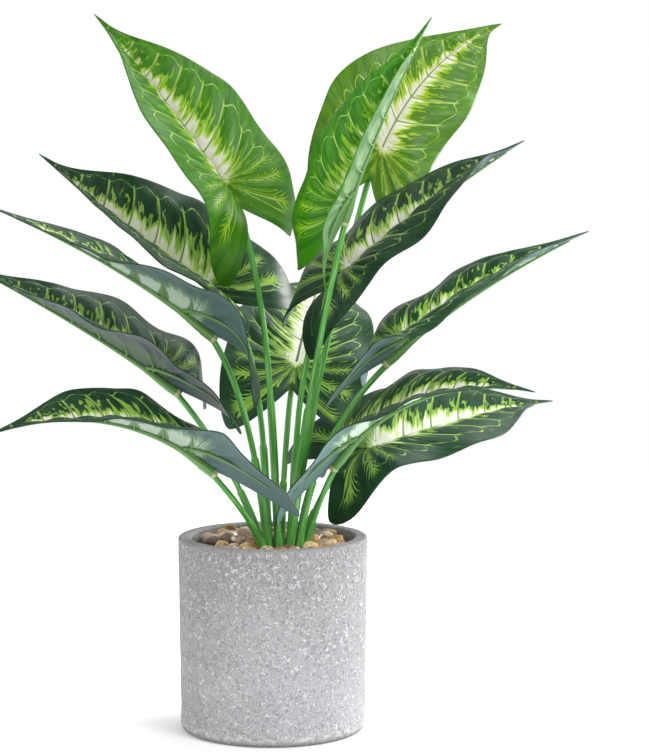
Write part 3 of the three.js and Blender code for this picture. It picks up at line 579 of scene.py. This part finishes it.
# A point of the bent blade at share s along and share out across. The half rises from the midrib at its
# fold angle and rolls back by its curl; the edge is waved, and the lobe's end is lowered by drop.
def bladePoint(leaf, side, s, out):
    width, _, lobe, fold, curl, drop, wave, phase = leaf["halves"][side > 0]
    right = leafFrame(leaf)[3]
    point, up = midrib(leaf, s)
    back, ahead = np.clip(-s / lobe, 0, 1), np.clip(s, 0, None)
    flat = leaf.get("flatLobe", (0, 0))[side > 0]
    roll = np.radians(curl) * out * (1 - flat * back ** 0.6)  # the angle rolled by here
    angle = np.radians(fold[1] + (fold[0] - fold[1]) * back ** 2 + (fold[2] - fold[1]) * ahead) - roll / 2
    reach = width * out * (1 - roll ** 2 / 24)  # the chord of the rolled arc
    ripple = wave * np.sin(2 * np.pi * (leafPlan["wavesAlong"] * s + phase)) * out ** 2
    rise = reach * np.sin(angle) + ripple * np.clip((1 - s) * 4, None, 1) - drop * out * back ** 2
    return point + right * (side * reach * np.cos(angle))[..., None] + up * rise[..., None]


# Which way the upper face looks at each point, from the blade's slopes along and across.
def bladeNormal(leaf, side, s, out):
    step = 1e-3
    alongStep = bladePoint(leaf, side, s + step, out) - bladePoint(leaf, side, s - step, out)
    acrossStep = bladePoint(leaf, side, s, out + step) - bladePoint(leaf, side, s, out - step)
    return unit(np.cross(acrossStep, alongStep) * side)


# The printed pattern's coordinates on the flat leaf. Side veins leave the midrib at equal spacing and
# lean and curve towards the tip (y = start + lean x + curve x squared); behind the joint they fan out
# from it. The second value is 0 on the midrib or at the joint and 1 at the nearest edge.
def printFields(leaf, side, s, out):
    width, taper, lobe = leaf["halves"][side > 0][:3]
    length = leafFrame(leaf)[4]
    x, y = width * out, length * s
    start = y - leafPlan["veinLean"] * x - leafPlan["veinCurve"] * x ** 2
    fan = np.degrees(np.arctan2(x, y) - np.arctan2(1, leafPlan["veinLean"] + leafPlan["veinCurve"] * x))
    number = np.where(start >= 0, start / (leafPlan["veinSpacing"] * length), -fan / leafPlan["lobeVein"])
    toOuter = (outerEdge(s, lobe, taper) - out) * width
    notch = leafPlan["sinus"] * length
    toNotch = np.where(y > -notch, np.hypot(x, y + notch), (out - innerEdge(s, lobe)) * width)
    toEdge = np.clip(np.where(s < 0, np.minimum(toOuter, toNotch), toOuter), 0, None)
    fromSpine = np.where(s < 0, np.hypot(x, y), x)
    return np.stack([number, fromSpine / np.maximum(fromSpine + toEdge, 1e-6), s], -1)


# Both halves of a blade as grids of shares s and out, with the cloth puffed up between the veins, pressed
# in along them, and rippled near the margin.
def bladeSurface(leaf, seed):
    lobeRows, notchRows, rows = leafPlan["rows"]
    parts, fields = [], []
    for side in (-1, 1):
        taper, lobe = leaf["halves"][side > 0][1:3]
        sinus = leafPlan["sinus"]
        lobePart = -sinus - (lobe - sinus) * np.cos(np.pi / 2 * np.arange(lobeRows) / lobeRows)
        notchPart = -sinus * (1 - np.arange(notchRows) / notchRows)
        s = np.concatenate([lobePart, notchPart, np.arange(rows + 1) / rows])
        across = np.linspace(0, 1, leafPlan["columns"])
        low, high = innerEdge(s, lobe), outerEdge(s, lobe, taper)
        out = low[:, None] + (high - low)[:, None] * across
        s = np.repeat(s[:, None], len(across), 1)
        values = printFields(leaf, side, s, out)
        off = np.abs(values[..., 0] - np.round(values[..., 0]))
        outward, notchEdge = values[..., 1], innerEdge(s, lobe)
        fade = smooth(0.0, 0.12, outward) * (1 - smooth(0.62, 0.86, outward)) * (1 - smooth(0.8, 0.97, s))
        pressed = np.exp(-(off / 0.06) ** 2)
        puff = leafPlan["quilt"] * np.sin(np.pi * off) ** 2 * 2 - leafPlan["groove"] * pressed
        edge = smooth(0.7, 1.0, outward) * (1 - smooth(0.75, 0.95, s)) * smooth(0, 0.1, out - notchEdge)
        ripple = leafPlan["ripple"] * noise(s * 11, s * 0 + seed, s * 0 + side, 3) * edge * 2
        lift = (puff * fade + ripple)[..., None]
        points = bladePoint(leaf, side, s, out) + bladeNormal(leaf, side, s, out) * lift
        onMidrib = notchEdge[:, 0] == 0
        points[:, 0][onMidrib] = midrib(leaf, s[:, 0])[0][onMidrib]
        parts.append((points.reshape(-1, 3), gridTriangles(*s.shape, flip=side < 0)))
        fields.append(values.reshape(-1, 3))
    return joined(parts), np.concatenate(fields)


# Ribs and stems. places are shares of the leaf's length, branches are vein numbers, branchReach is a
# share of the half width, nub holds the ways past the collar's mouth and the radii there, and radii are
# millimetres.
ribPlan = {
    "places": (-0.15, -0.1, -0.05, 0.0, 0.06, 0.15, 0.3, 0.5, 0.7, 0.9),
    "radii": (2.7, 2.7, 2.5, 2.0, 1.55, 1.3, 1.05, 0.8, 0.6, 0.3), "ribSides": 16, "branchSides": 8,
    "branches": (0.02, 1, 2, 3, 4), "branchReach": 0.46, "branchRadius": (0.8, 0.3), "lobeRib": (1.25, 0.4),
    "nub": ((1.1, 0.7, 0, -0.8, -1.5, -1.9), (1.9, 2.5, 2.95, 3.05, 2.85, 2.5)),
}
# root is the height of the stems' lower ends and spread the height above which they spread. collar is the
# mouth's share of the length behind the joint, the collar's radius and how deep the stem goes in. stub is
# the bare sleeve's place, with stubHeights and stubRadii its profile up to the pointed end.
stemPlan = {
    "root": 33, "spread": 103, "sleeveShare": 0.42,
    "footRadius": 2.6, "sleeveRadius": 2.35, "neckRadius": 1.75,
    "steps": 90, "sides": 28, "flutes": 7, "flute": 0.045, "collar": (0.15, 2.7, 9.0), "stub": (4, -9.4),
    "stubHeights": (33, 103, 115, 122, 127, 129), "stubRadii": (2.4, 2.4, 2.3, 1.9, 1.2, 0.6),
}
depthways = np.array([0.0, 1.0, 0.0])  # the stems' rings are turned from this


# The rib on the back: a main rib under the midrib that swells into the collar, branches under the side
# veins that thin out a part of the way across, and a long one into each lobe.
def ribSurface(leaf):
    up, right, length = leafFrame(leaf)[2:]
    half, sides, few = leafPlan["thick"] / 2, ribPlan["ribSides"], ribPlan["branchSides"]
    s = np.interp(np.linspace(0, 1, 60), np.linspace(0, 1, len(ribPlan["places"])), ribPlan["places"])
    radii = np.interp(s, ribPlan["places"], ribPlan["radii"])
    point, lift = midrib(leaf, s)
    parts = [sweep(point - lift * (radii * 0.8 + half)[:, None], radii, sides, right)]
    for side in (-1, 1):
        width, _, lobe = leaf["halves"][side > 0][:3]
        for start in ribPlan["branches"]:
            x = np.linspace(0, 1, 24) * ribPlan["branchReach"] * width * (1 - 0.13 * start)
            y = start * leafPlan["veinSpacing"] * length
            y = y + leafPlan["veinLean"] * x + leafPlan["veinCurve"] * x ** 2
            thin = np.interp(x, (0, x[-1]), ribPlan["branchRadius"]) * (1 - 0.1 * start)
            place = y / length, x / width
            under = (thin * 0.5 + half)[:, None]
            path = bladePoint(leaf, side, *place) - bladeNormal(leaf, side, *place) * under
            parts.append(sweep(path, thin, few, up))
        t = np.linspace(0.05, 1, 36)
        place = -lobe * 0.68 * t ** 1.3 + 0.05 * (1 - t), 0.6 * t
        thin = np.interp(t, (0, 1), ribPlan["lobeRib"])
        under = (thin * 0.5 + half)[:, None]
        path = bladePoint(leaf, side, *place) - bladeNormal(leaf, side, *place) * under
        parts.append(sweep(path, thin, few, right))
    ribTriangles = sum(len(part[1]) for part in parts)
    # A pale nub of moulding flash rings the collar's mouth.
    steps, nubRadii = [np.array(v, float) for v in ribPlan["nub"]]
    mouth = parts[0][0].reshape(-1, sides, 3).mean(1)
    nubPath = mouth[1] + unit(mouth[1] - mouth[4]) * steps[:, None]
    parts.append(sweep(nubPath, nubRadii, sides, right, 5, 0.05))
    points, triangles = joined(parts)
    drawn = np.concatenate([part[2] for part in parts])
    return points, triangles, drawn, (np.arange(len(triangles)) >= ribTriangles).astype(int)


# The stem's path: straight up out of the filler, then a cubic curve from the pebbles to the collar's mouth,
# leaving and arriving part of the way between its own lean and the upright or the collar's direction.
def stemPath(leaf):
    length = leafFrame(leaf)[4]
    place, radius, depth = stemPlan["collar"]
    under = radius + 0.9  # from the midrib down to the collar's middle
    ends = np.array([-place, -place + depth / length])
    point, lift = midrib(leaf, ends)
    mouth, inside = point - lift * under
    foot = np.array([*leaf["foot"], stemPlan["spread"]], float)
    rise = np.linalg.norm(mouth - foot)
    lean, entry = unit(mouth - foot), unit(mouth - inside)
    leave = unit(lean * 0.55 + np.array([0, 0, 1]) * 0.45)
    arrive = unit(entry * 0.45 - lean * 0.55)
    push = np.array([*leaf.get("bend", (0, 0)), 0])
    first, second = foot + leave * rise * 0.33 + push, mouth + arrive * rise * 0.3 + push
    t = np.linspace(0, 1, stemPlan["steps"])[:, None]
    left = 1 - t
    curve = foot * left ** 3 + first * 3 * t * left ** 2 + second * 3 * t ** 2 * left + mouth * t ** 3
    run = np.concatenate([[0], np.cumsum(np.linalg.norm(np.diff(curve, axis=0), axis=1))])
    share = run / run[-1]
    upright = np.linspace(stemPlan["root"], foot[2] - 6, 6)
    low = np.stack([np.full(6, foot[0]), np.full(6, foot[1]), upright], 1)
    # The sleeve thins towards its end, which is at a slightly different share on each stem.
    cut = stemPlan["sleeveShare"] + 0.04 * np.sin(leaf["joint"][0])
    wide, narrow = stemPlan["footRadius"], stemPlan["sleeveRadius"]
    radii = np.where(share < cut, wide + (narrow - wide) * share / cut, stemPlan["neckRadius"])
    path = np.concatenate([low, curve, inside[None]])
    return path, np.concatenate([np.full(6, wide), radii, radii[-1:]])


flutes, flute = stemPlan["flutes"], stemPlan["flute"]
for i, leaf in enumerate(leaves):
    tag = f"{i + 1:02d}"
    young = i < lightLeaves
    cloth = [lightFace, lightBack] if young else [darkFace, darkBack]
    (points, triangles), fields = bladeSurface(leaf, i + 1)
    # The third value is the face's lightness: partly the leaf's own tone, partly painted light and shade.
    own = np.tile([i * 3.7, leaf["tint"], leaf["toneAndShading"]], (len(points), 1))
    # The back's lightness is partly painted shade.
    back = np.tile([*leaf.get("back", (1.0, 1.0)), 0.0], (len(points), 1))
    layers = {"print": fields, "own": own, "back": back}
    blade = makePiece(f"leafBlade{tag}", points, triangles, cloth, sharp=0, fields=layers)
    wall = blade.modifiers.new("thickness", "SOLIDIFY")
    wall.thickness = leafPlan["thick"] * 0.001
    wall.offset = 0
    wall.material_offset = 1
    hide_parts(f"leaf_{tag}_blade")
    points, triangles, drawn, slots = ribSurface(leaf)
    plastics = [ribPlastic, nubPlastic]
    rib = makePiece(f"leafRib{tag}", points, triangles, plastics, fields={"drawn": drawn}, slots=slots)
    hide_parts(f"leaf_{tag}_rib")
    path, radii = stemPath(leaf)
    points, triangles, drawn = sweep(path, radii, stemPlan["sides"], depthways, flutes, flute)
    stem = makePiece(f"stem{tag}", points, triangles, [stemPlastic], fields={"drawn": drawn})
    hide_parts(f"stem_{tag}")

# The bare sleeve: a short pointed rod among the stems, which leans a little to the left above the filler.
x, y = stemPlan["stub"]
rise = np.concatenate([np.linspace(33, 100, 6), np.linspace(103, 129, 16)])
stubPath = np.stack([x - 0.017 * (rise - stemPlan["spread"]).clip(0), np.full(22, float(y)), rise], 1)
stubRadii = np.interp(rise, stemPlan["stubHeights"], stemPlan["stubRadii"])
points, triangles, drawn = sweep(stubPath, stubRadii, 24, depthways, flutes, flute)
stub = makePiece("sleeveStub", points, triangles, [stemPlastic], fields={"drawn": drawn})
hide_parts("stem_sleeve_stub")
print("leaves and stems done")


# Cast cement with a crackled, crusted skin: matt, mid grey, with pale worm-like crusts between small dark
# pits. Sizes in millimetres; crust is how far the threads stand out, and chips the ring of loose crust
# above the foot.
potPlan = {
    "rim": 57.5, "foot": 56, "height": 118, "wall": 7.8, "floor": 10, "rimRound": 1.6, "footRound": 3,
    "columns": 420, "rows": 132, "arcSteps": 9, "crust": 0.32, "chips": 0.7,
}
cementLook = {"pit": "#7b787c", "body": "#a3a1a4", "crust": "#edebee", "rim": "#a9a7a7"}


def makeCement(look):
    material, tree = newMaterial("cast_cement_crusted")
    place = addNode(tree, "TexCoord", out=3)
    mask = addNode(tree, "Attribute", out=1, attribute_name="skin")
    crusted = addNode(tree, "SeparateXYZ", {0: mask})
    relief = crusted.node.outputs[1]
    # Crust threads about 3 mm apart: noise bends the coordinates of a cell pattern, and the threads are
    # its cell walls. They are fainter on the rim and in patches.
    bend = addNode(tree, "TexNoise", {"Vector": place, "Scale": 320.0, "Detail": 2.0}, out=1)
    bend = addNode(tree, "VectorMath", {0: bend, 1: (0.5, 0.5, 0.5)}, operation="SUBTRACT")
    bend = addNode(tree, "VectorMath", {0: bend, 3: 0.0034}, operation="SCALE")
    bent = addNode(tree, "VectorMath", {0: place, 1: bend}, operation="ADD")
    cells = addNode(tree, "TexVoronoi", {"Vector": bent, "Scale": 345.0}, feature="DISTANCE_TO_EDGE")
    threads = addNode(tree, "MapRange", {0: cells, 1: 0.0, 2: 0.12, 3: 1.0, 4: 0.0}, **eased)
    patch = addNode(tree, "TexNoise", {"Vector": place, "Scale": 110.0, "Detail": 5.0})
    patch = addNode(tree, "MapRange", {0: patch, 1: 0.38, 2: 0.62, 3: 0.55, 4: 1.0}, **eased)
    threads = addNode(tree, "Math", {0: threads, 1: patch}, operation="MULTIPLY")
    threadPart = addNode(tree, "MapRange", {0: crusted, 3: 0.25, 4: 1.0})
    threads = addNode(tree, "Math", {0: threads, 1: threadPart}, operation="MULTIPLY")
    pits = addNode(tree, "TexNoise", {"Vector": place, "Scale": 430.0, "Detail": 2.0})
    pits = addNode(tree, "MapRange", {0: pits, 1: 0.55, 2: 0.68}, **eased)
    cloud = addNode(tree, "TexNoise", {"Vector": place, "Scale": 26.0, "Detail": 4.0})
    base = addNode(tree, "Mix", {0: crusted, 6: look["rim"], 7: look["body"]}, **asColour)
    # The casting's tone varies in clouds. Painted shade: darker towards the rim and lighter low on the wall,
    # and a painted shadow over its lowest 5 mm.
    height = addNode(tree, "SeparateXYZ", {0: place}, out=2)
    # Painted shade: darker towards the rim, lighter low on the wall.
    upper = addNode(tree, "MapRange", {0: height, 1: 0.04, 2: 0.118, 3: 1.07, 4: 0.72})
    # Painted shadow under the foot's rounded edge, over the lowest 5 mm.
    under = addNode(tree, "MapRange", {0: height, 1: 0.0005, 2: 0.005, 3: 0.5, 4: 1.0}, **eased)
    cloudsAndShade = addNode(tree, "MapRange", {0: cloud, 1: 0.3, 2: 0.7, 3: 0.88, 4: 1.08})
    cloudsAndShade = addNode(tree, "Math", {0: cloudsAndShade, 1: upper}, operation="MULTIPLY")
    cloudsAndShade = addNode(tree, "Math", {0: cloudsAndShade, 1: under}, operation="MULTIPLY")
    base = addNode(tree, "HueSaturation", {"Value": cloudsAndShade, "Color": base})
    pitted = addNode(tree, "Math", {0: pits, 1: 0.45}, operation="MULTIPLY")
    base = addNode(tree, "Mix", {0: pitted, 6: base, 7: look["pit"]}, **asColour)
    white = addNode(tree, "Math", {0: relief, 1: 0.2, 2: threads}, operation="MULTIPLY_ADD")
    white = addNode(tree, "Math", {0: white, 1: 0.72}, operation="MULTIPLY", use_clamp=True)
    colour = addNode(tree, "Mix", {0: white, 6: base, 7: look["crust"]}, **asColour)
    rough = addNode(tree, "Math", {0: pits, 1: -0.6, 2: threads}, operation="MULTIPLY_ADD")
    bump = addNode(tree, "Bump", {"Strength": 1.0, "Distance": 0.0006, "Height": rough})
    shader = addNode(tree, "BsdfPrincipled", {
        "Base Color": colour, "Roughness": 0.92, "Normal": bump, "IOR": 1.5, "Specular IOR Level": 0.3,
    })
    addNode(tree, "OutputMaterial", {"Surface": shader})
    return material


# The pot: a profile from the middle of the foot, round the foot's edge, up the wall, over the rim, down
# inside and to the middle of the floor, turned about Z. The outer wall's crust and chips are raised from
# noise. The attribute "skin" holds how much of the crust a point has, and how far its relief stands out.
def potSurface():
    p = potPlan
    quarter = np.linspace(0, np.pi / 2, p["arcSteps"])
    inner, height = p["rim"] - p["wall"], p["height"]
    f, r = p["footRound"], p["rimRound"]
    under = [[0, 0], [30, 0]]
    footArc = np.stack([p["foot"] - f + f * np.sin(quarter), f - f * np.cos(quarter)], 1)
    wallZ = np.linspace(f, height - r, p["rows"])[1:-1]
    wall = np.stack([np.interp(wallZ, (f, height), (p["foot"], p["rim"])), wallZ], 1)
    rimOut = np.stack([p["rim"] - r + r * np.cos(quarter), height - r + r * np.sin(quarter)], 1)
    top = np.stack([np.linspace(p["rim"] - r, inner + r, 8)[1:-1], np.full(6, float(height))], 1)
    rimIn = np.stack([inner + r - r * np.sin(quarter), height - r + r * np.cos(quarter)], 1)
    down = np.stack([np.full(14, inner), np.linspace(height - r, p["floor"], 15)[1:]], 1)
    floorRow = [[25, p["floor"]], [0, p["floor"]]]
    profile = np.concatenate([under, footArc, wall, rimOut, top, rimIn, down, floorRow])
    turn = np.linspace(0, 2 * np.pi, p["columns"], endpoint=False)
    radius, z = [np.repeat(v[:, None], p["columns"], 1) for v in profile.T]
    x, y = radius * np.cos(turn), radius * np.sin(turn)
    threads = 1 - np.abs(noise(x / 1.6, y / 1.6, z / 1.6, 1)) * 2.4
    coarse = noise(x / 5, y / 5, z / 5, 2)
    low = 1 - smooth(4, 20, z)
    lastOutside = len(under) + len(footArc) + len(wall) + len(quarter) // 2
    outside = (np.arange(len(profile)) < lastOutside)[:, None]
    skin = outside * smooth(4.5, 7, z) * (1 - smooth(height - 3.6, height - 1.4, z))
    relief = np.clip(threads, 0, 1) * (0.55 + 0.45 * coarse) * (1 + 1.4 * low)
    broken = smooth(-0.1, 0.3, noise(x / 2.6, y / 2.6, z / 1.8, 5))
    chips = outside * smooth(1.5, 4.5, z) * (1 - smooth(4.5, 8.5, z)) * broken
    lift = skin * (p["crust"] * relief - 0.12) + chips * p["chips"] + outside * 0.08 * coarse
    lift = np.where(z > p["footRound"], lift, 0)
    grow = 1 + lift / np.maximum(radius, 1)
    points = np.stack([x * grow, y * grow, z], -1).reshape(-1, 3)
    standsOut = np.clip(relief * skin + chips * 2.2, 0, 2.4)
    fields = np.stack([skin, standsOut, np.zeros_like(skin)], -1).reshape(-1, 3)
    return points, gridTriangles(len(profile), p["columns"], closed=True), fields


cement = makeCement(cementLook)
points, triangles, fields = potSurface()
pot = makePiece("cementPot", points, triangles, [cement], fields={"skin": fields}, sharp=60)
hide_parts("pot")
print("pot done")


# Tumbled river pebbles: smooth, slightly waxy stone, each with its own tan, cream, ochre or brown, and
# mottling. Sizes in millimetres: size, smallSize and lift are ranges, outer and inner the radii that the
# large stones lie between, smallReach those of the small ones, centre and mound the heap's place and
# height, margin how far a stone may reach past outer, and back the rise of the bed per millimetre towards
# the back.
pebblePlan = {
    "count": 72, "size": (3.8, 6.2), "outer": 43.5, "inner": 17, "margin": 5.6, "rows": 16, "columns": 22,
    "smallCount": 90, "smallSize": (1.4, 2.8), "smallReach": (10, 46), "smallRows": 9, "smallColumns": 12,
    "centre": (7, -1), "mound": 2, "back": 0.08, "lift": (1.2, 3.4),
    "bedTop": 109, "bedUnder": 102.4, "bedRadius": 49.2, "bedRings": 40, "bedColumns": 120,
}


def makeStone():
    material, tree = newMaterial("tumbled_river_pebble")
    own = addNode(tree, "Attribute", out=1, attribute_name="stone")
    tone = addNode(tree, "SeparateXYZ", {0: own})
    dark = tone.node.outputs[1]
    place = addNode(tree, "TexCoord", out=3)
    shifted = addNode(tree, "VectorMath", {0: own, 1: place}, operation="ADD")
    veins = addNode(tree, "TexNoise", {
        "Vector": shifted, "Scale": 210.0, "Detail": 5.0, "Roughness": 0.62, "Distortion": 0.4,
    })
    mixed = addNode(tree, "Math", {0: veins, 1: 0.8, 2: tone}, operation="MULTIPLY_ADD")
    mixed = addNode(tree, "Math", {0: mixed, 1: -0.4}, operation="ADD")
    colour = addNode(tree, "ValToRGB", {0: mixed}, stops=[
        (0.0, "#6f4a2f"), (0.14, "#a87a4c"), (0.28, "#cfa168"), (0.42, "#e6cfa4"), (0.54, "#c79a66"),
        (0.66, "#9a8f84"), (0.78, "#cf9f86"), (0.9, "#ead9b8"), (1.0, "#8a6448"),
    ])
    specks = addNode(tree, "TexNoise", {"Vector": shifted, "Scale": 520.0, "Detail": 3.0})
    specks = addNode(tree, "MapRange", {0: specks, 1: 0.58, 2: 0.7, 3: 0.0, 4: 0.6}, **eased)
    colour = addNode(tree, "Mix", {0: specks, 6: colour, 7: "#4a3628"}, **asColour)
    colour = addNode(tree, "Mix", {0: dark, 6: colour, 7: "#3a3431"}, **asColour)
    bump = addNode(tree, "Bump", {"Strength": 0.4, "Distance": 0.0004, "Height": veins})
    shader = addNode(tree, "BsdfPrincipled", {
        "Base Color": colour, "Roughness": 0.42, "Normal": bump, "IOR": 1.54,
    })
    addNode(tree, "OutputMaterial", {"Surface": shader})
    return material


# Bed under the stones: grit, painted near black as the shade in the gaps between the stones.
def makeShadedGritBed():
    material, tree = newMaterial("grit_bed_painted_shade")
    place = addNode(tree, "TexCoord", out=3)
    grain = addNode(tree, "TexNoise", {"Vector": place, "Scale": 700.0, "Detail": 4.0})
    # Near-black grit: painted shade in the gaps between the stones.
    colour = addNode(tree, "ValToRGB", {0: grain}, stops=[
        (0.3, "#1c1815"), (0.55, "#3a302a"), (0.75, "#6d5c4b"),
    ])
    bump = addNode(tree, "Bump", {"Strength": 0.9, "Distance": 0.0008, "Height": grain})
    shader = addNode(tree, "BsdfPrincipled", {"Base Color": colour, "Roughness": 0.8, "Normal": bump})
    addNode(tree, "OutputMaterial", {"Surface": shader})
    return material


# One stone: a ball of rows and columns squashed to three half lengths, made lumpy by noise, then turned.
def stoneSurface(centre, half, tilt, turn, seed, rows, columns):
    fromTop, fromSide = np.linspace(0, np.pi, rows), np.linspace(0, 2 * np.pi, columns, endpoint=False)
    polar, around = np.meshgrid(fromTop, fromSide, indexing="ij")
    ball = np.stack([np.sin(polar) * np.cos(around), np.sin(polar) * np.sin(around), np.cos(polar)], -1)
    coarse = noise(*(ball * 1.3 + seed).transpose(2, 0, 1), 4)
    fine = noise(*(ball * 3.1 + seed).transpose(2, 0, 1), 6)
    lump = 1 + 0.2 * coarse + 0.08 * fine
    boxy = 0.84  # a power below 1 makes the ball a little like a box
    body = np.sign(ball) * np.abs(ball) ** boxy * lump[..., None] * np.array(half)
    ct, st, cz, sz = math.cos(tilt), math.sin(tilt), math.cos(turn), math.sin(turn)
    x, y, z = body[..., 0], body[..., 1] * ct - body[..., 2] * st, body[..., 1] * st + body[..., 2] * ct
    body = np.stack([x * cz - y * sz, x * sz + y * cz, z], -1) + np.array(centre)
    return body.reshape(-1, 3), gridTriangles(rows, columns, closed=True, flip=True)


# The stones stand on a sunflower spiral round the stems, heaped towards them, by a seeded rule. The
# attribute "stone" holds each one's tone, its darkness and its place in the noise.
def pebbleSurface():
    p = pebblePlan
    state = [7]

    def random():
        state[0] = (state[0] * 1664525 + 1013904223) % 4294967296
        return state[0] / 4294967296

    def between(low, high):
        return low + (high - low) * random()

    parts, tones = [], []
    golden = math.pi * (3 - math.sqrt(5))
    for i in range(p["count"]):
        share = (i + 0.5) / p["count"]
        radius = math.sqrt(p["inner"] ** 2 * (1 - share) + p["outer"] ** 2 * share) + between(-1, 1)
        turn = i * golden + between(-0.12, 0.12)
        towards = 1 - (radius - p["inner"]) / (p["outer"] - p["inner"])
        x = radius * math.cos(turn) + p["centre"][0] * towards
        y = radius * math.sin(turn) + p["centre"][1] * towards
        size = between(*p["size"])
        half = (size * 1.02, size * between(0.7, 0.95), size * between(0.55, 0.75) * 1.05)
        tilt, spin = between(-0.4, 0.4), between(0, math.pi)
        centre = (x, y, p["bedTop"] + p["mound"] * towards + p["back"] * y + between(*p["lift"]))
        if math.hypot(centre[0], centre[1]) + size > p["outer"] + p["margin"]:
            shrink = (p["outer"] + p["margin"] - size) / math.hypot(centre[0], centre[1])
            centre = (centre[0] * shrink, centre[1] * shrink, centre[2])
        part = stoneSurface(centre, half, tilt, spin, i * 5.3, p["rows"], p["columns"])
        parts.append(part)
        tone = [(i * 0.2764) % 1, 0.8 if i % 7 == 2 else 0.0, i * 0.1]
        tones.append(np.tile(tone, (len(part[0]), 1)))
    near, far = p["smallReach"]
    for i in range(p["smallCount"]):
        radius = near + (far - near) * math.sqrt((i + 0.5) / p["smallCount"])
        turn = i * golden * 1.7 + 0.4
        size = between(*p["smallSize"])
        x, y = radius * math.cos(turn) + 4 * (1 - radius / far), radius * math.sin(turn)
        centre = (x, y, p["bedTop"] + p["mound"] * (1 - radius / far) + p["back"] * y + between(0.6, 2.6))
        half, rows, columns = (size, size * 0.8, size * 0.65), p["smallRows"], p["smallColumns"]
        part = stoneSurface(centre, half, 0.3, turn * 2, i * 3.1 + 90, rows, columns)
        parts.append(part)
        tone = [(i * 0.618034 + 0.2) % 1, 0.8 if i % 3 == 1 else 0.0, i * 0.17]
        tones.append(np.tile(tone, (len(part[0]), 1)))
    stones = sum(len(t) for _, t in parts)
    # The bed: a disc of rings that heaps up in the middle, rough with noise, with its sides and underside.
    edge, count, columns = p["bedRadius"], p["bedRings"], p["bedColumns"]
    rings = np.concatenate([[0], np.full(2, edge), np.linspace(edge, 0, count)])
    level = np.concatenate([[p["bedUnder"], p["bedUnder"]], [p["bedTop"]], np.zeros(count)])
    around = np.linspace(0, 2 * np.pi, columns, endpoint=False)
    r = np.repeat(rings[:, None], columns, 1)
    x, y = r * np.cos(around), r * np.sin(around)
    middle = p["mound"] * (1 - smooth(6, 40, np.hypot(x - 6, y)))
    rough = 0.9 * noise(x / 2.6, y / 2.6, x * 0, 8)
    heap = p["bedTop"] - 0.6 + middle + p["back"] * y * 0.8 + rough
    z = np.where(np.arange(len(rings))[:, None] < 3, level[:, None], heap)
    parts.append((np.stack([x, y, z], -1).reshape(-1, 3), gridTriangles(len(rings), columns, closed=True)))
    tones.append(np.zeros((r.size, 3)))
    points, triangles = joined(parts)
    slots = (np.arange(len(triangles)) >= stones).astype(int)
    return points, triangles, np.concatenate(tones), slots


points, triangles, tones, slots = pebbleSurface()
paints, layers = [makeStone(), makeShadedGritBed()], {"stone": tones}
pebbles = makePiece("pebbleHeap", points, triangles, paints, fields=layers, slots=slots, sharp=70)
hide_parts("pebbles")

# Rigid foam under the pebbles: brown, matt, with fine open cells.
foam, tree = newMaterial("rigid_floral_foam")
place = addNode(tree, "TexCoord", out=3)
cells = addNode(tree, "TexVoronoi", {"Vector": place, "Scale": 900.0})
colour = addNode(tree, "ValToRGB", {0: cells}, stops=[(0.0, "#3a2c20"), (0.6, "#5a4634"), (1.0, "#6d5843")])
bump = addNode(tree, "Bump", {"Strength": 0.6, "Distance": 0.0005, "Height": cells})
shader = addNode(tree, "BsdfPrincipled", {"Base Color": colour, "Roughness": 0.95, "Normal": bump})
addNode(tree, "OutputMaterial", {"Surface": shader})
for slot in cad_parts["filler_block"].material_slots:
    slot.material = foam
print("pebbles done")
